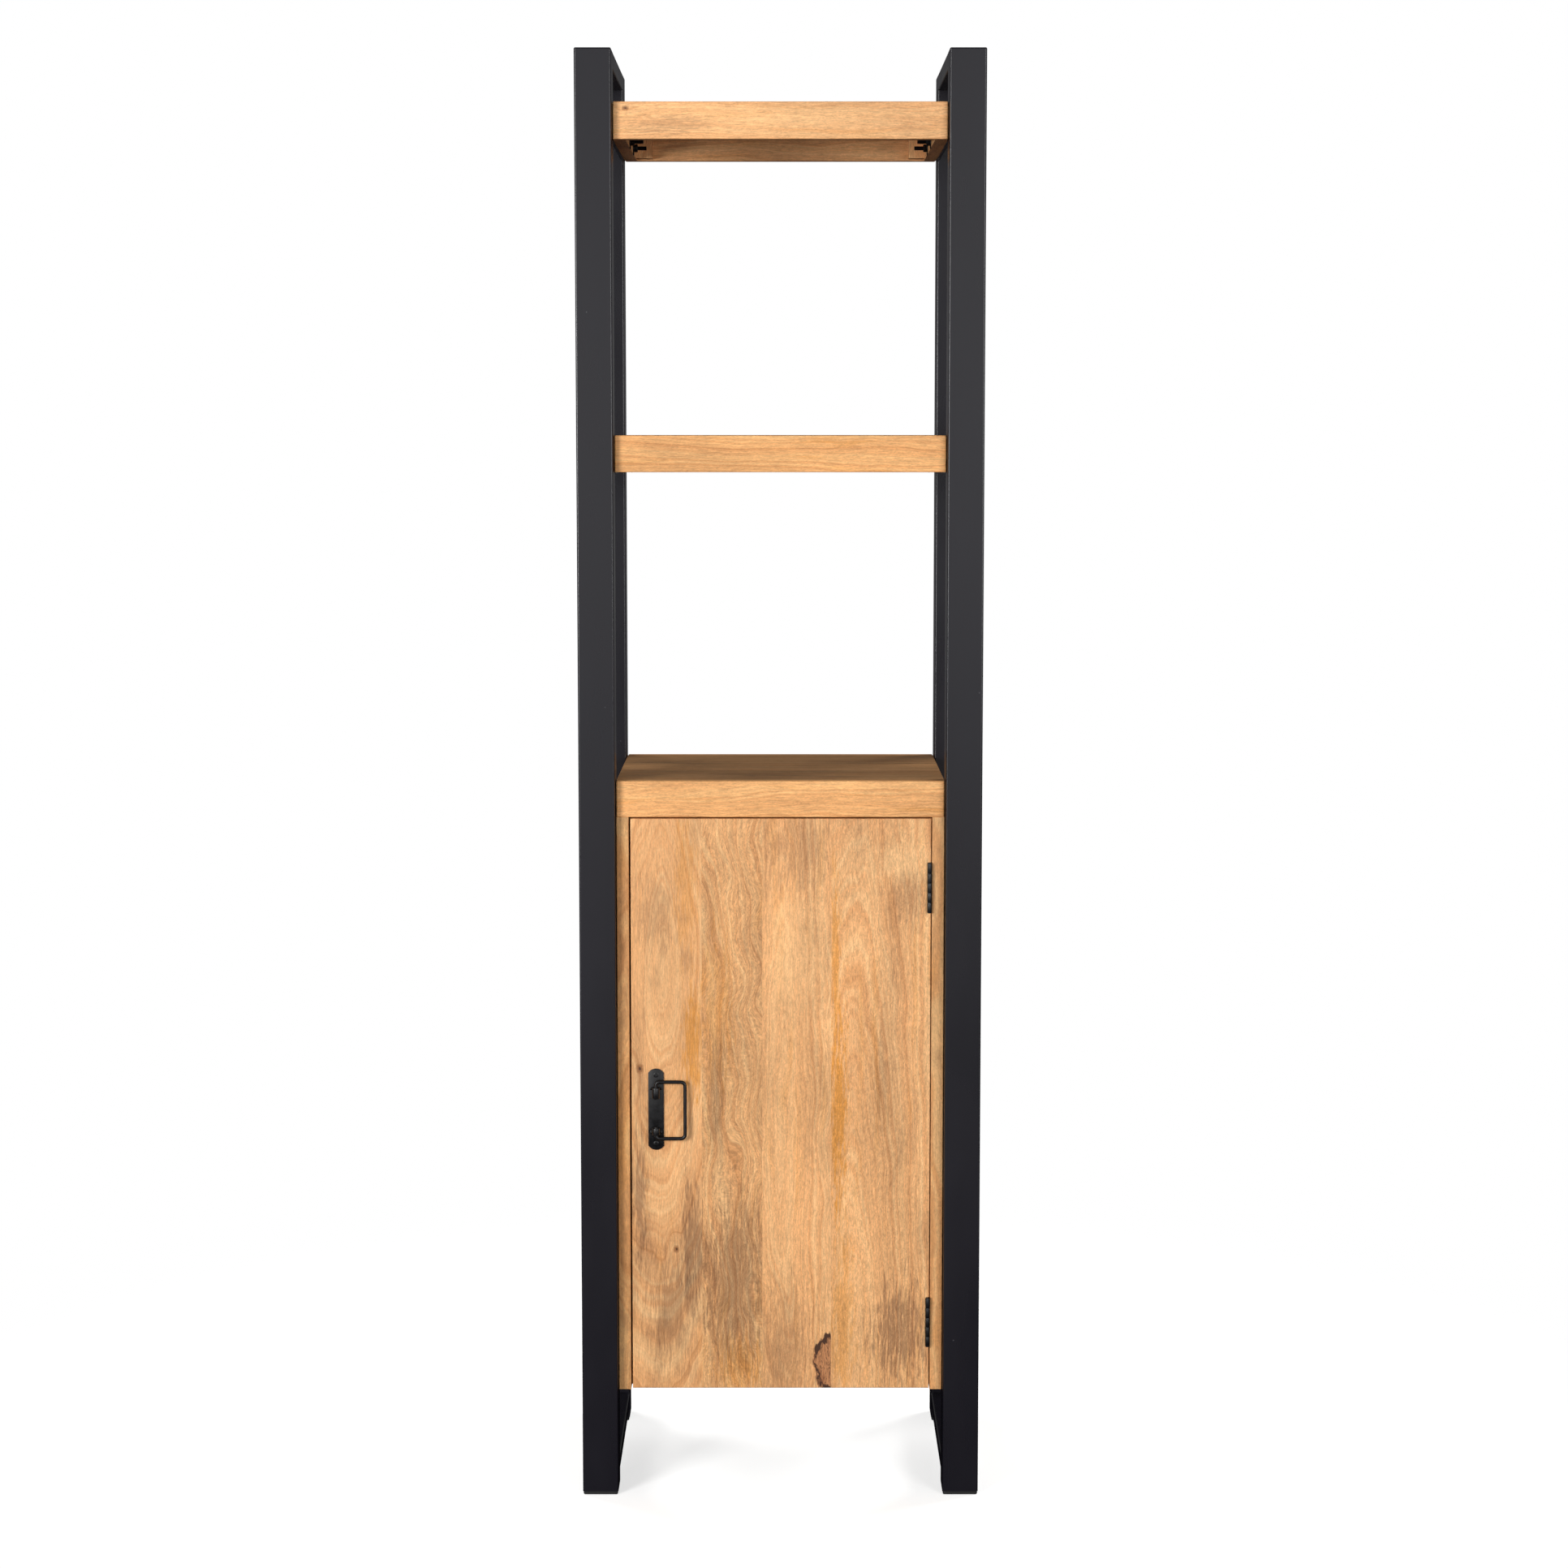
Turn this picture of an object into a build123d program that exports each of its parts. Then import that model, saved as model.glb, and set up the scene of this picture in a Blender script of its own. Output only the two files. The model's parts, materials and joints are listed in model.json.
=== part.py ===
from build123d import *
import os

# A tall narrow bookcase. Two welded steel end frames carry two open box shelves and, below them,
# a cupboard with one hinged door. Sizes are in millimetres, +Z is up and the door faces -Y.
# The origin is on the floor, under the middle of the bookcase.

# Overall size
overall_height = 2000.0
overall_width = 555.0
overall_depth = 380.0

# Steel end frames: square posts, flat rails, welded cap plates and plastic floor glides
post_size = 50.0
post_wall = 2.0
post_corner = 2.5
rail_height = 22.0
rail_corner = 2.5
bottom_rail_lift = 22.0
cap_thickness = 3.0
cap_round = 2.0
glide_foot = 5.0
glide_inset = 0.8
glide_round = 2.0
glide_plug_length = 15.0
glide_clearance = 0.2

# Box shelves: a top board between a front and a back apron, with side aprons under its ends
board_thickness = 17.0
apron_thickness = 17.0
apron_height = 50.0
apron_end_round = 2.5
apron_edge_round = 1.2
corner_block = 23.0
corner_block_rise = 2.0
side_clearance = 1.0
front_recess = 15.0
back_recess = 3.0

# Heights
top_shelf_drop = 70.0
lower_opening = 424.0
cabinet_height = 860.0
cabinet_lift = 148.0

# Bolted straps that join the wood to the end frames
strap_height = 20.0
strap_thickness = 4.0
strap_bolt_rise = 8.0
lower_strap_rise = 60.0
bolt_diameter = 6.0
bolt_length = 40.0
bolt_spacing = 100.0
bolt_hole_clearance = 0.3
hex_across_flats = 10.0
bolt_head_height = 4.0
washer_diameter = 20.0
washer_thickness = 1.5
nut_thickness = 5.0
thread_clearance = 0.05

# Cupboard
panel_thickness = 17.0
back_panel_thickness = 8.0
floor_board_thickness = 17.0
floor_board_rise = 2.0
dowel_diameter = 8.0
dowel_length = 28.0
dowel_depth_in_side = 10.0
dowel_edge_distance = 60.0
dowel_clearance = 0.05

# Loose inner shelf on steel pins, which fit a row of holes
inner_shelf_thickness = 17.0
inner_shelf_side_gap = 2.5
inner_shelf_front_gap = 25.0
inner_shelf_back_gap = 3.0
inner_shelf_round = 1.5
shelf_seat_gap = 0.3
pin_hole_count = 7
pin_hole_pitch = 50.0
pin_row_start = 230.0
pin_hole_in_use = 3
pin_hole_depth = 11.0
pin_edge_distance = 45.0
shelf_pin_diameter = 5.0
shelf_pin_length = 19.0
shelf_pin_grip = 10.0
shelf_pin_collar_diameter = 7.5
shelf_pin_collar = 1.5
shelf_pin_clearance = 0.1

# Door of four edge-glued boards; the last board takes the rest of the width
door_thickness = 18.0
door_gap_handle_side = 2.2
door_gap_hinge_side = 1.2
door_gap_top = 2.0
door_bottom_rise = 1.5
door_stop_gap = 0.5
door_edge_round = 1.5
door_board_widths = (98.0, 84.0, 96.0)

# Butt hinges
hinge_length = 68.0
hinge_end_distance = 96.0
knuckle_count = 5
knuckle_gap = 0.4
barrel_diameter = 6.6
barrel_clearance = 0.3
hinge_pin_diameter = 3.0
hinge_pin_clearance = 0.05
hinge_pin_head_diameter = 5.6
hinge_pin_head = 1.5
leaf_thickness = 1.0
leaf_width = 14.4
leaf_screw_spacing = 22.0
mortise_clearance = 0.3
hinge_screw_length = 13.0

# Bail handle on its back plate
handle_inset = 34.3
handle_rise = 399.0
plate_width = 21.5
plate_length = 115.0
plate_end_rise = 6.0
plate_thickness = 2.0
plate_screw_spacing = 97.0
handle_axis_stand = 9.0
upper_lug_offset = 24.5
upper_lug_height = 15.0
lower_lug_offset = 30.0
lower_lug_height = 9.4
lug_radius = 5.3
bail_rod = 5.0
bail_clearance = 0.08
bail_span = 80.0
bail_reach = 40.5
bail_corner = 6.0
bail_hook = 5.0
bail_tip = 1.5
handle_screw_length = 14.0

# Wood screws
screw_diameter = 3.0
screw_head_diameter = 5.6
handle_screw_head_diameter = 7.0
screw_point = 3.0
screw_clearance = 0.05

# Magnetic catch and the strike plate on the door
catch_width = 14.0
catch_depth = 26.0
catch_height = 46.0
catch_drop = 60.0
catch_gap = 0.4
catch_round = 1.5
catch_screw_length = 12.0
catch_screw_spacing = 30.0
strike_width = 12.0
strike_height = 38.0
strike_thickness = 1.2
strike_screw_length = 9.0

# Places worked out from the sizes above
post_x = (overall_width - post_size) / 2
post_y = (overall_depth - post_size) / 2
inner_half = overall_width / 2 - post_size
rail_length = overall_depth - 2 * post_size

shelf_half = inner_half - side_clearance
shelf_front = -overall_depth / 2 + front_recess
shelf_back = overall_depth / 2 - back_recess
shelf_middle = (shelf_front + shelf_back) / 2
apron_inner_half = shelf_half - apron_thickness

cabinet_top = cabinet_lift + cabinet_height
middle_shelf_top = cabinet_top + lower_opening + apron_height
top_shelf_top = overall_height - top_shelf_drop
side_panel_top = cabinet_top - apron_height
side_inner = shelf_half - panel_thickness

door_left = -side_inner + door_gap_handle_side
door_right = side_inner - door_gap_hinge_side
door_bottom = cabinet_lift + door_bottom_rise
door_top = side_panel_top - door_gap_top
door_back = shelf_front + door_thickness
floor_board_front = door_back + door_stop_gap
back_panel_front = shelf_back - back_panel_thickness
floor_board_bottom = cabinet_lift + floor_board_rise
floor_board_top = floor_board_bottom + floor_board_thickness

hinge_x = side_inner - barrel_diameter / 2
hinge_y = shelf_front - barrel_diameter / 2 - barrel_clearance
hinge_heights = (door_bottom + hinge_end_distance, door_top - hinge_end_distance)
leaf_middle = shelf_front + leaf_width / 2
knuckle_pitch = hinge_length / knuckle_count

handle_x = door_left + handle_inset
handle_y = shelf_front - handle_axis_stand
handle_z = door_bottom + handle_rise
lugs = ((upper_lug_offset, upper_lug_height), (-lower_lug_offset, lower_lug_height))

# The heights of the bolts that hold each level, and how far from the middle their washers seat
level_bolts = {
    "top_shelf": top_shelf_top - apron_height + strap_bolt_rise,
    "middle_shelf": middle_shelf_top - apron_height + strap_bolt_rise,
    "cabinet_top": side_panel_top + strap_bolt_rise,
    "cabinet_floor": cabinet_lift + lower_strap_rise,
}
# The cupboard top's washers also cover the upper edge of its side panels.
washer_seats = {level: apron_inner_half for level in level_bolts}
washer_seats["cabinet_top"] = min(apron_inner_half, side_inner)
washer_seats["cabinet_floor"] = side_inner
bolt_rows = (shelf_middle - bolt_spacing / 2, shelf_middle + bolt_spacing / 2)

ON_PLANE = (Align.CENTER, Align.CENTER, Align.MIN)
UNDER_PLANE = (Align.CENTER, Align.CENTER, Align.MAX)
LEFT, RIGHT = -1, 1
SIDES = (("left", LEFT), ("right", RIGHT))
ENDS = (("front", -1), ("back", 1))

os.makedirs("parts", exist_ok=True)


def save(piece, name):
    """Labels a finished piece and writes it as parts/NAME.step."""
    piece.part.label = name
    export_step(piece.part, f"parts/{name}.step")


def span_box(low, high, mode=Mode.ADD):
    """Adds a box that reaches from its low corner to its high corner."""
    size = [top - bottom for bottom, top in zip(low, high)]
    with Locations(low):
        Box(*size, align=(Align.MIN, Align.MIN, Align.MIN), mode=mode)


def facing_x(side, x, y, z):
    """A plane at the given point whose normal points outwards along X on that side."""
    return Plane(origin=(x, y, z), x_dir=(0, 1, 0), z_dir=(side, 0, 0))


def facing_front(x, y, z):
    """A plane at the given point whose normal points to the front, along -Y."""
    return Plane(origin=(x, y, z), x_dir=(1, 0, 0), z_dir=(0, -1, 0))


def screws(places, head_diameter, length, clearance=0.0, mode=Mode.ADD):
    """Adds countersunk wood screws, each with its head flush with a plane and its point below it."""
    head, shank = head_diameter / 2 + clearance, screw_diameter / 2 + clearance
    with Locations(*places):
        Cone(shank, head, head - shank, align=UNDER_PLANE, mode=mode)
        Cylinder(shank, length - screw_point, align=UNDER_PLANE, mode=mode)
        with Locations((0, 0, screw_point - length)):
            Cone(screw_point / 10, shank, screw_point, align=UNDER_PLANE, mode=mode)


def level_bolt_planes(level, side, x):
    """The planes, at distance x from the middle, of the bolts that hold one level on one side."""
    return [facing_x(side, side * x, y, level_bolts[level]) for y in bolt_rows]


def bolt_holes(level, side, inner_x, depth):
    """Cuts the bolt holes of one level through a piece that starts at inner_x from the middle."""
    with Locations(*level_bolt_planes(level, side, inner_x)):
        Cylinder(bolt_diameter / 2 + bolt_hole_clearance, depth, align=ON_PLANE, mode=Mode.SUBTRACT)


# ---- Steel end frames ----

post_bore = post_size - 2 * post_wall
post_foot = glide_foot
post_head = overall_height - cap_thickness

for side_name, side in SIDES:
    for end_name, end in ENDS:
        with BuildPart() as post:
            with BuildSketch(Plane.XY.offset(post_foot)):
                with Locations((side * post_x, end * post_y)):
                    RectangleRounded(post_size, post_size, post_corner)
                    RectangleRounded(post_bore, post_bore, post_corner / 2, mode=Mode.SUBTRACT)
            extrude(amount=post_head - post_foot)
        save(post, f"{side_name}_{end_name}_post")

rail_bottoms = {"top": overall_height - rail_height, "bottom": bottom_rail_lift}
for side_name, side in SIDES:
    for rail_name, rail_bottom in rail_bottoms.items():
        with BuildPart() as rail:
            with BuildSketch(facing_front(side * post_x, -rail_length / 2, rail_bottom + rail_height / 2)):
                RectangleRounded(post_size, rail_height, rail_corner)
                RectangleRounded(
                    post_bore, rail_height - 2 * post_wall, rail_corner / 2, mode=Mode.SUBTRACT
                )
            extrude(amount=-rail_length)
        save(rail, f"{side_name}_{rail_name}_rail")

with BuildPart() as post_top_caps:
    with BuildSketch(Plane.XY.offset(post_head)):
        with GridLocations(2 * post_x, 2 * post_y, 2, 2):
            RectangleRounded(post_size, post_size, post_corner)
    extrude(amount=cap_thickness)
    fillet(post_top_caps.edges().group_by(Axis.Z)[-1], cap_round)
save(post_top_caps, "post_top_caps")

with BuildPart() as floor_glides:
    glide_width = post_size - 2 * glide_inset
    with BuildSketch():
        with GridLocations(2 * post_x, 2 * post_y, 2, 2):
            RectangleRounded(glide_width, glide_width, post_corner)
    extrude(amount=glide_foot)
    fillet(floor_glides.edges().group_by(Axis.Z)[0], glide_round)
    plug_width = post_bore - 2 * glide_clearance
    with BuildSketch(Plane.XY.offset(glide_foot)):
        with GridLocations(2 * post_x, 2 * post_y, 2, 2):
            RectangleRounded(plug_width, plug_width, post_corner / 2)
    extrude(amount=glide_plug_length)
save(floor_glides, "floor_glides")

# ---- Straps, bolts, washers and nuts ----

strap_groups = {
    "top_shelf_straps": ("top_shelf",),
    "middle_shelf_straps": ("middle_shelf",),
    "cabinet_straps": ("cabinet_top", "cabinet_floor"),
}
for group_name, levels in strap_groups.items():
    with BuildPart() as straps:
        for level in levels:
            for _, side in SIDES:
                with BuildSketch(facing_x(side, side * shelf_half, 0, level_bolts[level])):
                    Rectangle(rail_length, strap_height)
                    with Locations(*[(row, 0) for row in bolt_rows]):
                        Circle(bolt_diameter / 2 + bolt_hole_clearance, mode=Mode.SUBTRACT)
                extrude(amount=strap_thickness)
    save(straps, group_name)

bolt_head_x = shelf_half + strap_thickness
hex_radius = hex_across_flats / 3**0.5

with BuildPart() as frame_bolts:
    for level in level_bolts:
        for _, side in SIDES:
            for plane in level_bolt_planes(level, side, bolt_head_x):
                with BuildSketch(plane):
                    RegularPolygon(hex_radius, 6)
                extrude(amount=bolt_head_height)
                with BuildSketch(plane):
                    Circle(bolt_diameter / 2)
                extrude(amount=-bolt_length)
save(frame_bolts, "frame_bolts")

with BuildPart() as frame_washers:
    for level in level_bolts:
        for _, side in SIDES:
            for plane in level_bolt_planes(level, side, washer_seats[level]):
                with BuildSketch(plane):
                    Circle(washer_diameter / 2)
                    Circle(bolt_diameter / 2 + bolt_hole_clearance, mode=Mode.SUBTRACT)
                extrude(amount=-washer_thickness)
save(frame_washers, "frame_washers")

with BuildPart() as frame_nuts:
    for level in level_bolts:
        for _, side in SIDES:
            for plane in level_bolt_planes(level, side, washer_seats[level] - washer_thickness):
                with BuildSketch(plane):
                    RegularPolygon(hex_radius, 6)
                    Circle(bolt_diameter / 2 + thread_clearance, mode=Mode.SUBTRACT)
                extrude(amount=-nut_thickness)
save(frame_nuts, "frame_nuts")

# ---- Box shelves and the cupboard's top ----

# The cupboard's sides hang on dowels under the side aprons of its top.
top_dowel_rows = (shelf_front + dowel_edge_distance, shelf_back - dowel_edge_distance)
top_dowel_places = [
    (side * (shelf_half - panel_thickness / 2), row, side_panel_top)
    for _, side in SIDES
    for row in top_dowel_rows
]
floor_dowel_x = side_inner + dowel_depth_in_side
floor_dowel_z = floor_board_bottom + floor_board_thickness / 2
floor_dowel_places = [
    facing_x(side, side * floor_dowel_x, row, floor_dowel_z)
    for _, side in SIDES
    for row in (floor_board_front + dowel_edge_distance, back_panel_front - dowel_edge_distance)
]


def dowels(clearance=0.0, mode=Mode.ADD):
    """Adds the dowels between the cupboard's sides, its top and its floor board."""
    radius = dowel_diameter / 2 + clearance
    with Locations(*top_dowel_places):
        Cylinder(radius, dowel_length + 2 * clearance, mode=mode)
    with Locations(*floor_dowel_places):
        with Locations((0, 0, clearance)):
            Cylinder(radius, dowel_length + 2 * clearance, align=UNDER_PLANE, mode=mode)


def box_shelf(name, top):
    """Makes the board, the four aprons and the corner blocks of a shelf whose top is at that height."""
    bottom = top - apron_height
    board_bottom = top - board_thickness
    board_front, board_back = shelf_front + apron_thickness, shelf_back - apron_thickness

    with BuildPart() as shelf_board:
        span_box((-shelf_half, board_front, board_bottom), (shelf_half, board_back, top))
    save(shelf_board, f"{name}_board")

    apron_planes = {"front": (shelf_front, board_front), "back": (board_back, shelf_back)}
    for end_name, (near, far) in apron_planes.items():
        with BuildPart() as apron:
            span_box((-shelf_half, near, bottom), (shelf_half, far, top))
            outer_face = apron.faces().sort_by(Axis.Y)[0 if end_name == "front" else -1]
            fillet(outer_face.edges().filter_by(Axis.Z), apron_end_round)
            outer_face = apron.faces().filter_by(Axis.Y).sort_by(Axis.Y)[0 if end_name == "front" else -1]
            fillet(outer_face.edges().filter_by(Axis.X), apron_edge_round)
        save(apron, f"{name}_{end_name}_apron")

    for side_name, side in SIDES:
        inner, outer = sorted((side * apron_inner_half, side * shelf_half))
        with BuildPart() as side_apron:
            span_box((inner, board_front, bottom), (outer, board_back, board_bottom))
            bolt_holes(name, side, apron_inner_half, apron_thickness)
            if name == "cabinet_top":
                dowels(dowel_clearance, Mode.SUBTRACT)
        save(side_apron, f"{name}_{side_name}_apron")

    with BuildPart() as corner_blocks:
        with BuildSketch(Plane.XY.offset(bottom + corner_block_rise)):
            with Locations((0, shelf_middle)):
                with GridLocations(
                    2 * apron_inner_half - corner_block, board_back - board_front - corner_block, 2, 2
                ):
                    Rectangle(corner_block, corner_block)
        extrude(amount=board_bottom - bottom - corner_block_rise)
    save(corner_blocks, f"{name}_corner_blocks")


box_shelf("top_shelf", top_shelf_top)
box_shelf("middle_shelf", middle_shelf_top)
box_shelf("cabinet_top", cabinet_top)

# ---- Cupboard body ----

pin_heights = [cabinet_lift + pin_row_start + step * pin_hole_pitch for step in range(pin_hole_count)]
pin_rows = (door_back + pin_edge_distance, back_panel_front - pin_edge_distance)


def leaf_screw_planes(side, x):
    """The planes of the three screws in each hinge leaf, whose heads face the given side."""
    return [
        facing_x(side, x, leaf_middle, hinge_height + step * leaf_screw_spacing)
        for hinge_height in hinge_heights
        for step in (-1, 0, 1)
    ]


catch_front = door_back + strike_thickness + catch_gap
catch_middle = door_top - catch_drop
catch_screw_y = catch_front + catch_depth / 2
catch_screw_planes = [
    facing_x(RIGHT, catch_width - side_inner, catch_screw_y, catch_middle + half * catch_screw_spacing / 2)
    for half in (-1, 1)
]

for side_name, side in SIDES:
    inner, outer = sorted((side * side_inner, side * shelf_half))
    with BuildPart() as cabinet_side:
        span_box((inner, shelf_front, cabinet_lift), (outer, shelf_back, side_panel_top))
        front_face = cabinet_side.faces().sort_by(Axis.Y)[0]
        fillet(front_face.edges().filter_by(Axis.Z), apron_edge_round)
        bolt_holes("cabinet_floor", side, side_inner, panel_thickness)
        dowels(dowel_clearance, Mode.SUBTRACT)
        for height in pin_heights:
            for row in pin_rows:
                with BuildSketch(facing_x(side, side * side_inner, row, height)):
                    Circle(shelf_pin_diameter / 2 + shelf_pin_clearance)
                extrude(amount=pin_hole_depth, mode=Mode.SUBTRACT)
        if side == RIGHT:
            screws(
                leaf_screw_planes(LEFT, side_inner - leaf_thickness),
                screw_head_diameter, hinge_screw_length, screw_clearance, Mode.SUBTRACT,
            )
        else:
            screws(
                catch_screw_planes,
                screw_head_diameter, catch_width + catch_screw_length, screw_clearance, Mode.SUBTRACT,
            )
    save(cabinet_side, f"cabinet_{side_name}_side")

with BuildPart() as cabinet_floor:
    span_box(
        (-side_inner, floor_board_front, floor_board_bottom),
        (side_inner, back_panel_front, floor_board_top),
    )
    dowels(dowel_clearance, Mode.SUBTRACT)
save(cabinet_floor, "cabinet_floor")

with BuildPart() as cabinet_back:
    span_box((-side_inner, back_panel_front, cabinet_lift), (side_inner, shelf_back, side_panel_top))
save(cabinet_back, "cabinet_back")

with BuildPart() as carcass_dowels:
    dowels()
save(carcass_dowels, "carcass_dowels")

# ---- Inner shelf on its pins ----

pins_height = pin_heights[pin_hole_in_use]
inner_shelf_half = side_inner - inner_shelf_side_gap
inner_shelf_bottom = pins_height + shelf_pin_diameter / 2 + shelf_seat_gap

with BuildPart() as shelf_pins:
    for _, side in SIDES:
        for row in pin_rows:
            with BuildSketch(facing_x(side, side * (side_inner + shelf_pin_grip), row, pins_height)):
                Circle(shelf_pin_diameter / 2)
            extrude(amount=-shelf_pin_length)
            with BuildSketch(facing_x(side, side * side_inner, row, pins_height)):
                Circle(shelf_pin_collar_diameter / 2)
            extrude(amount=-shelf_pin_collar)
save(shelf_pins, "shelf_pins")

inner_shelf_top = inner_shelf_bottom + inner_shelf_thickness

with BuildPart() as inner_shelf:
    span_box(
        (-inner_shelf_half, door_back + inner_shelf_front_gap, inner_shelf_bottom),
        (inner_shelf_half, back_panel_front - inner_shelf_back_gap, inner_shelf_top),
    )
    front_face = inner_shelf.faces().sort_by(Axis.Y)[0]
    fillet(front_face.edges().filter_by(Axis.X), inner_shelf_round)
save(inner_shelf, "inner_shelf")

# ---- Door ----

plate_screw_planes = [
    facing_front(handle_x, shelf_front - plate_thickness, handle_z + half * plate_screw_spacing / 2)
    for half in (-1, 1)
]
strike_x = -side_inner + catch_width / 2
strike_left = max(strike_x - strike_width / 2, door_left + door_edge_round)
strike_screw_plane = Plane(
    origin=(strike_left + strike_width / 2, door_back + strike_thickness, catch_middle),
    x_dir=(1, 0, 0),
    z_dir=(0, 1, 0),
)

board_edges = [door_left]
for width in door_board_widths:
    board_edges.append(board_edges[-1] + width)
board_edges.append(door_right)

for index in range(len(board_edges) - 1):
    left, right = board_edges[index], board_edges[index + 1]
    with BuildPart() as door_board:
        span_box((left, shelf_front, door_bottom), (right, door_back, door_top))
        front_edges = door_board.faces().sort_by(Axis.Y)[0].edges()
        eased = front_edges.filter_by(Axis.X)
        if index == 0:
            eased = eased + front_edges.filter_by(Axis.Z).sort_by(Axis.X)[:1]
        if right == door_right:
            eased = eased + front_edges.filter_by(Axis.Z).sort_by(Axis.X)[-1:]
        fillet(eased, door_edge_round)
        if index == 0:
            screws(
                plate_screw_planes,
                handle_screw_head_diameter, handle_screw_length, screw_clearance, Mode.SUBTRACT,
            )
            screws(
                [strike_screw_plane],
                screw_head_diameter, strike_screw_length, screw_clearance, Mode.SUBTRACT,
            )
        if right == door_right:
            for hinge_height in hinge_heights:
                half_mortise = hinge_length / 2 + mortise_clearance
                span_box(
                    (door_right - leaf_thickness, shelf_front, hinge_height - half_mortise),
                    (door_right, shelf_front + leaf_width + mortise_clearance, hinge_height + half_mortise),
                    mode=Mode.SUBTRACT,
                )
            screws(
                leaf_screw_planes(RIGHT, door_right),
                screw_head_diameter, hinge_screw_length, screw_clearance, Mode.SUBTRACT,
            )
    save(door_board, f"door_board_{index + 1}")

# ---- Hinges ----

barrel_radius = barrel_diameter / 2
hinge_bore = hinge_pin_diameter / 2 + hinge_pin_clearance


def hinge_leaf(name, hinge_height, leaf_outer, head_side, first_knuckle):
    """Makes one leaf with every second knuckle. Its screw heads face head_side."""
    low = hinge_height - hinge_length / 2
    leaf_inner = leaf_outer - leaf_thickness
    with BuildPart() as leaf:
        span_box((leaf_inner, shelf_front, low), (leaf_outer, shelf_front + leaf_width, low + hinge_length))
        for index in range(first_knuckle, knuckle_count, 2):
            start = low + index * knuckle_pitch + knuckle_gap / 2
            end = start + knuckle_pitch - knuckle_gap
            span_box((leaf_inner, hinge_y, start), (leaf_outer, shelf_front, end))
            with BuildSketch(Plane.XY.offset(start)):
                with Locations((hinge_x, hinge_y)):
                    Circle(barrel_radius)
            extrude(amount=end - start)
        with BuildSketch(Plane.XY.offset(low)):
            with Locations((hinge_x, hinge_y)):
                Circle(hinge_bore)
        extrude(amount=hinge_length, mode=Mode.SUBTRACT)
        head_plane_x = leaf_outer if head_side == RIGHT else leaf_inner
        screws(
            leaf_screw_planes(head_side, head_plane_x),
            screw_head_diameter, hinge_screw_length, screw_clearance, Mode.SUBTRACT,
        )
    save(leaf, name)


for hinge_name, hinge_height in zip(("lower", "upper"), hinge_heights):
    hinge_leaf(f"{hinge_name}_hinge_cabinet_leaf", hinge_height, side_inner, LEFT, 0)
    hinge_leaf(f"{hinge_name}_hinge_door_leaf", hinge_height, door_right, RIGHT, 1)

    with BuildPart() as hinge_pin:
        low = hinge_height - hinge_length / 2
        with BuildSketch(Plane.XY.offset(low)):
            with Locations((hinge_x, hinge_y)):
                Circle(hinge_pin_diameter / 2)
        extrude(amount=hinge_length)
        head_bottoms = (low + knuckle_gap / 2 - hinge_pin_head, low + hinge_length - knuckle_gap / 2)
        for head_bottom in head_bottoms:
            with BuildSketch(Plane.XY.offset(head_bottom)):
                with Locations((hinge_x, hinge_y)):
                    Circle(hinge_pin_head_diameter / 2)
            extrude(amount=hinge_pin_head)
        fillet(hinge_pin.edges().group_by(Axis.Z)[0], hinge_pin_head / 2)
        fillet(hinge_pin.edges().group_by(Axis.Z)[-1], hinge_pin_head / 2)
    save(hinge_pin, f"{hinge_name}_hinge_pin")

with BuildPart() as cabinet_hinge_screws:
    screws(leaf_screw_planes(LEFT, side_inner - leaf_thickness), screw_head_diameter, hinge_screw_length)
save(cabinet_hinge_screws, "cabinet_hinge_screws")

with BuildPart() as door_hinge_screws:
    screws(leaf_screw_planes(RIGHT, door_right), screw_head_diameter, hinge_screw_length)
save(door_hinge_screws, "door_hinge_screws")

# ---- Handle ----

with BuildPart() as handle_plate:
    with BuildSketch(facing_front(handle_x, shelf_front, handle_z)):
        with BuildLine():
            half_width, half_length = plate_width / 2, plate_length / 2
            shoulder = half_length - plate_end_rise
            Line((-half_width, -shoulder), (-half_width, shoulder))
            ThreePointArc((-half_width, shoulder), (0, half_length), (half_width, shoulder))
            Line((half_width, shoulder), (half_width, -shoulder))
            ThreePointArc((half_width, -shoulder), (0, -half_length), (-half_width, -shoulder))
        make_face()
    extrude(amount=plate_thickness)
    for lug_offset, lug_height in lugs:
        with BuildSketch(Plane.XY.offset(handle_z + lug_offset - lug_height / 2)):
            with Locations((handle_x, handle_y)):
                Circle(lug_radius)
            with Locations((handle_x, (handle_y + shelf_front - plate_thickness) / 2)):
                Rectangle(2 * lug_radius, shelf_front - plate_thickness - handle_y)
            with Locations((handle_x, handle_y)):
                Circle(bail_rod / 2 + bail_clearance, mode=Mode.SUBTRACT)
        extrude(amount=lug_height)
    screws(
        plate_screw_planes, handle_screw_head_diameter, handle_screw_length, screw_clearance, Mode.SUBTRACT
    )
save(handle_plate, "handle_plate")

with BuildPart() as handle_bail:
    upper_hook_end = upper_lug_offset - upper_lug_height / 2 - bail_tip
    lower_hook_end = lower_lug_offset - lower_lug_height / 2 - bail_tip
    with BuildLine(facing_front(handle_x, handle_y, handle_z)) as bail_path:
        FilletPolyline(
            (0, upper_hook_end),
            (0, bail_span / 2),
            (bail_reach, bail_span / 2),
            (bail_reach, -bail_span / 2),
            (0, -bail_span / 2),
            (0, -lower_hook_end),
            radius=(bail_hook, bail_corner, bail_corner, bail_hook),
        )
    with BuildSketch(Plane.XY.offset(handle_z + upper_hook_end)):
        with Locations((handle_x, handle_y)):
            Circle(bail_rod / 2)
    sweep(path=bail_path.wires()[0])
save(handle_bail, "handle_bail")

with BuildPart() as handle_screws:
    screws(plate_screw_planes, handle_screw_head_diameter, handle_screw_length)
save(handle_screws, "handle_screws")

# ---- Magnetic catch ----

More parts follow.
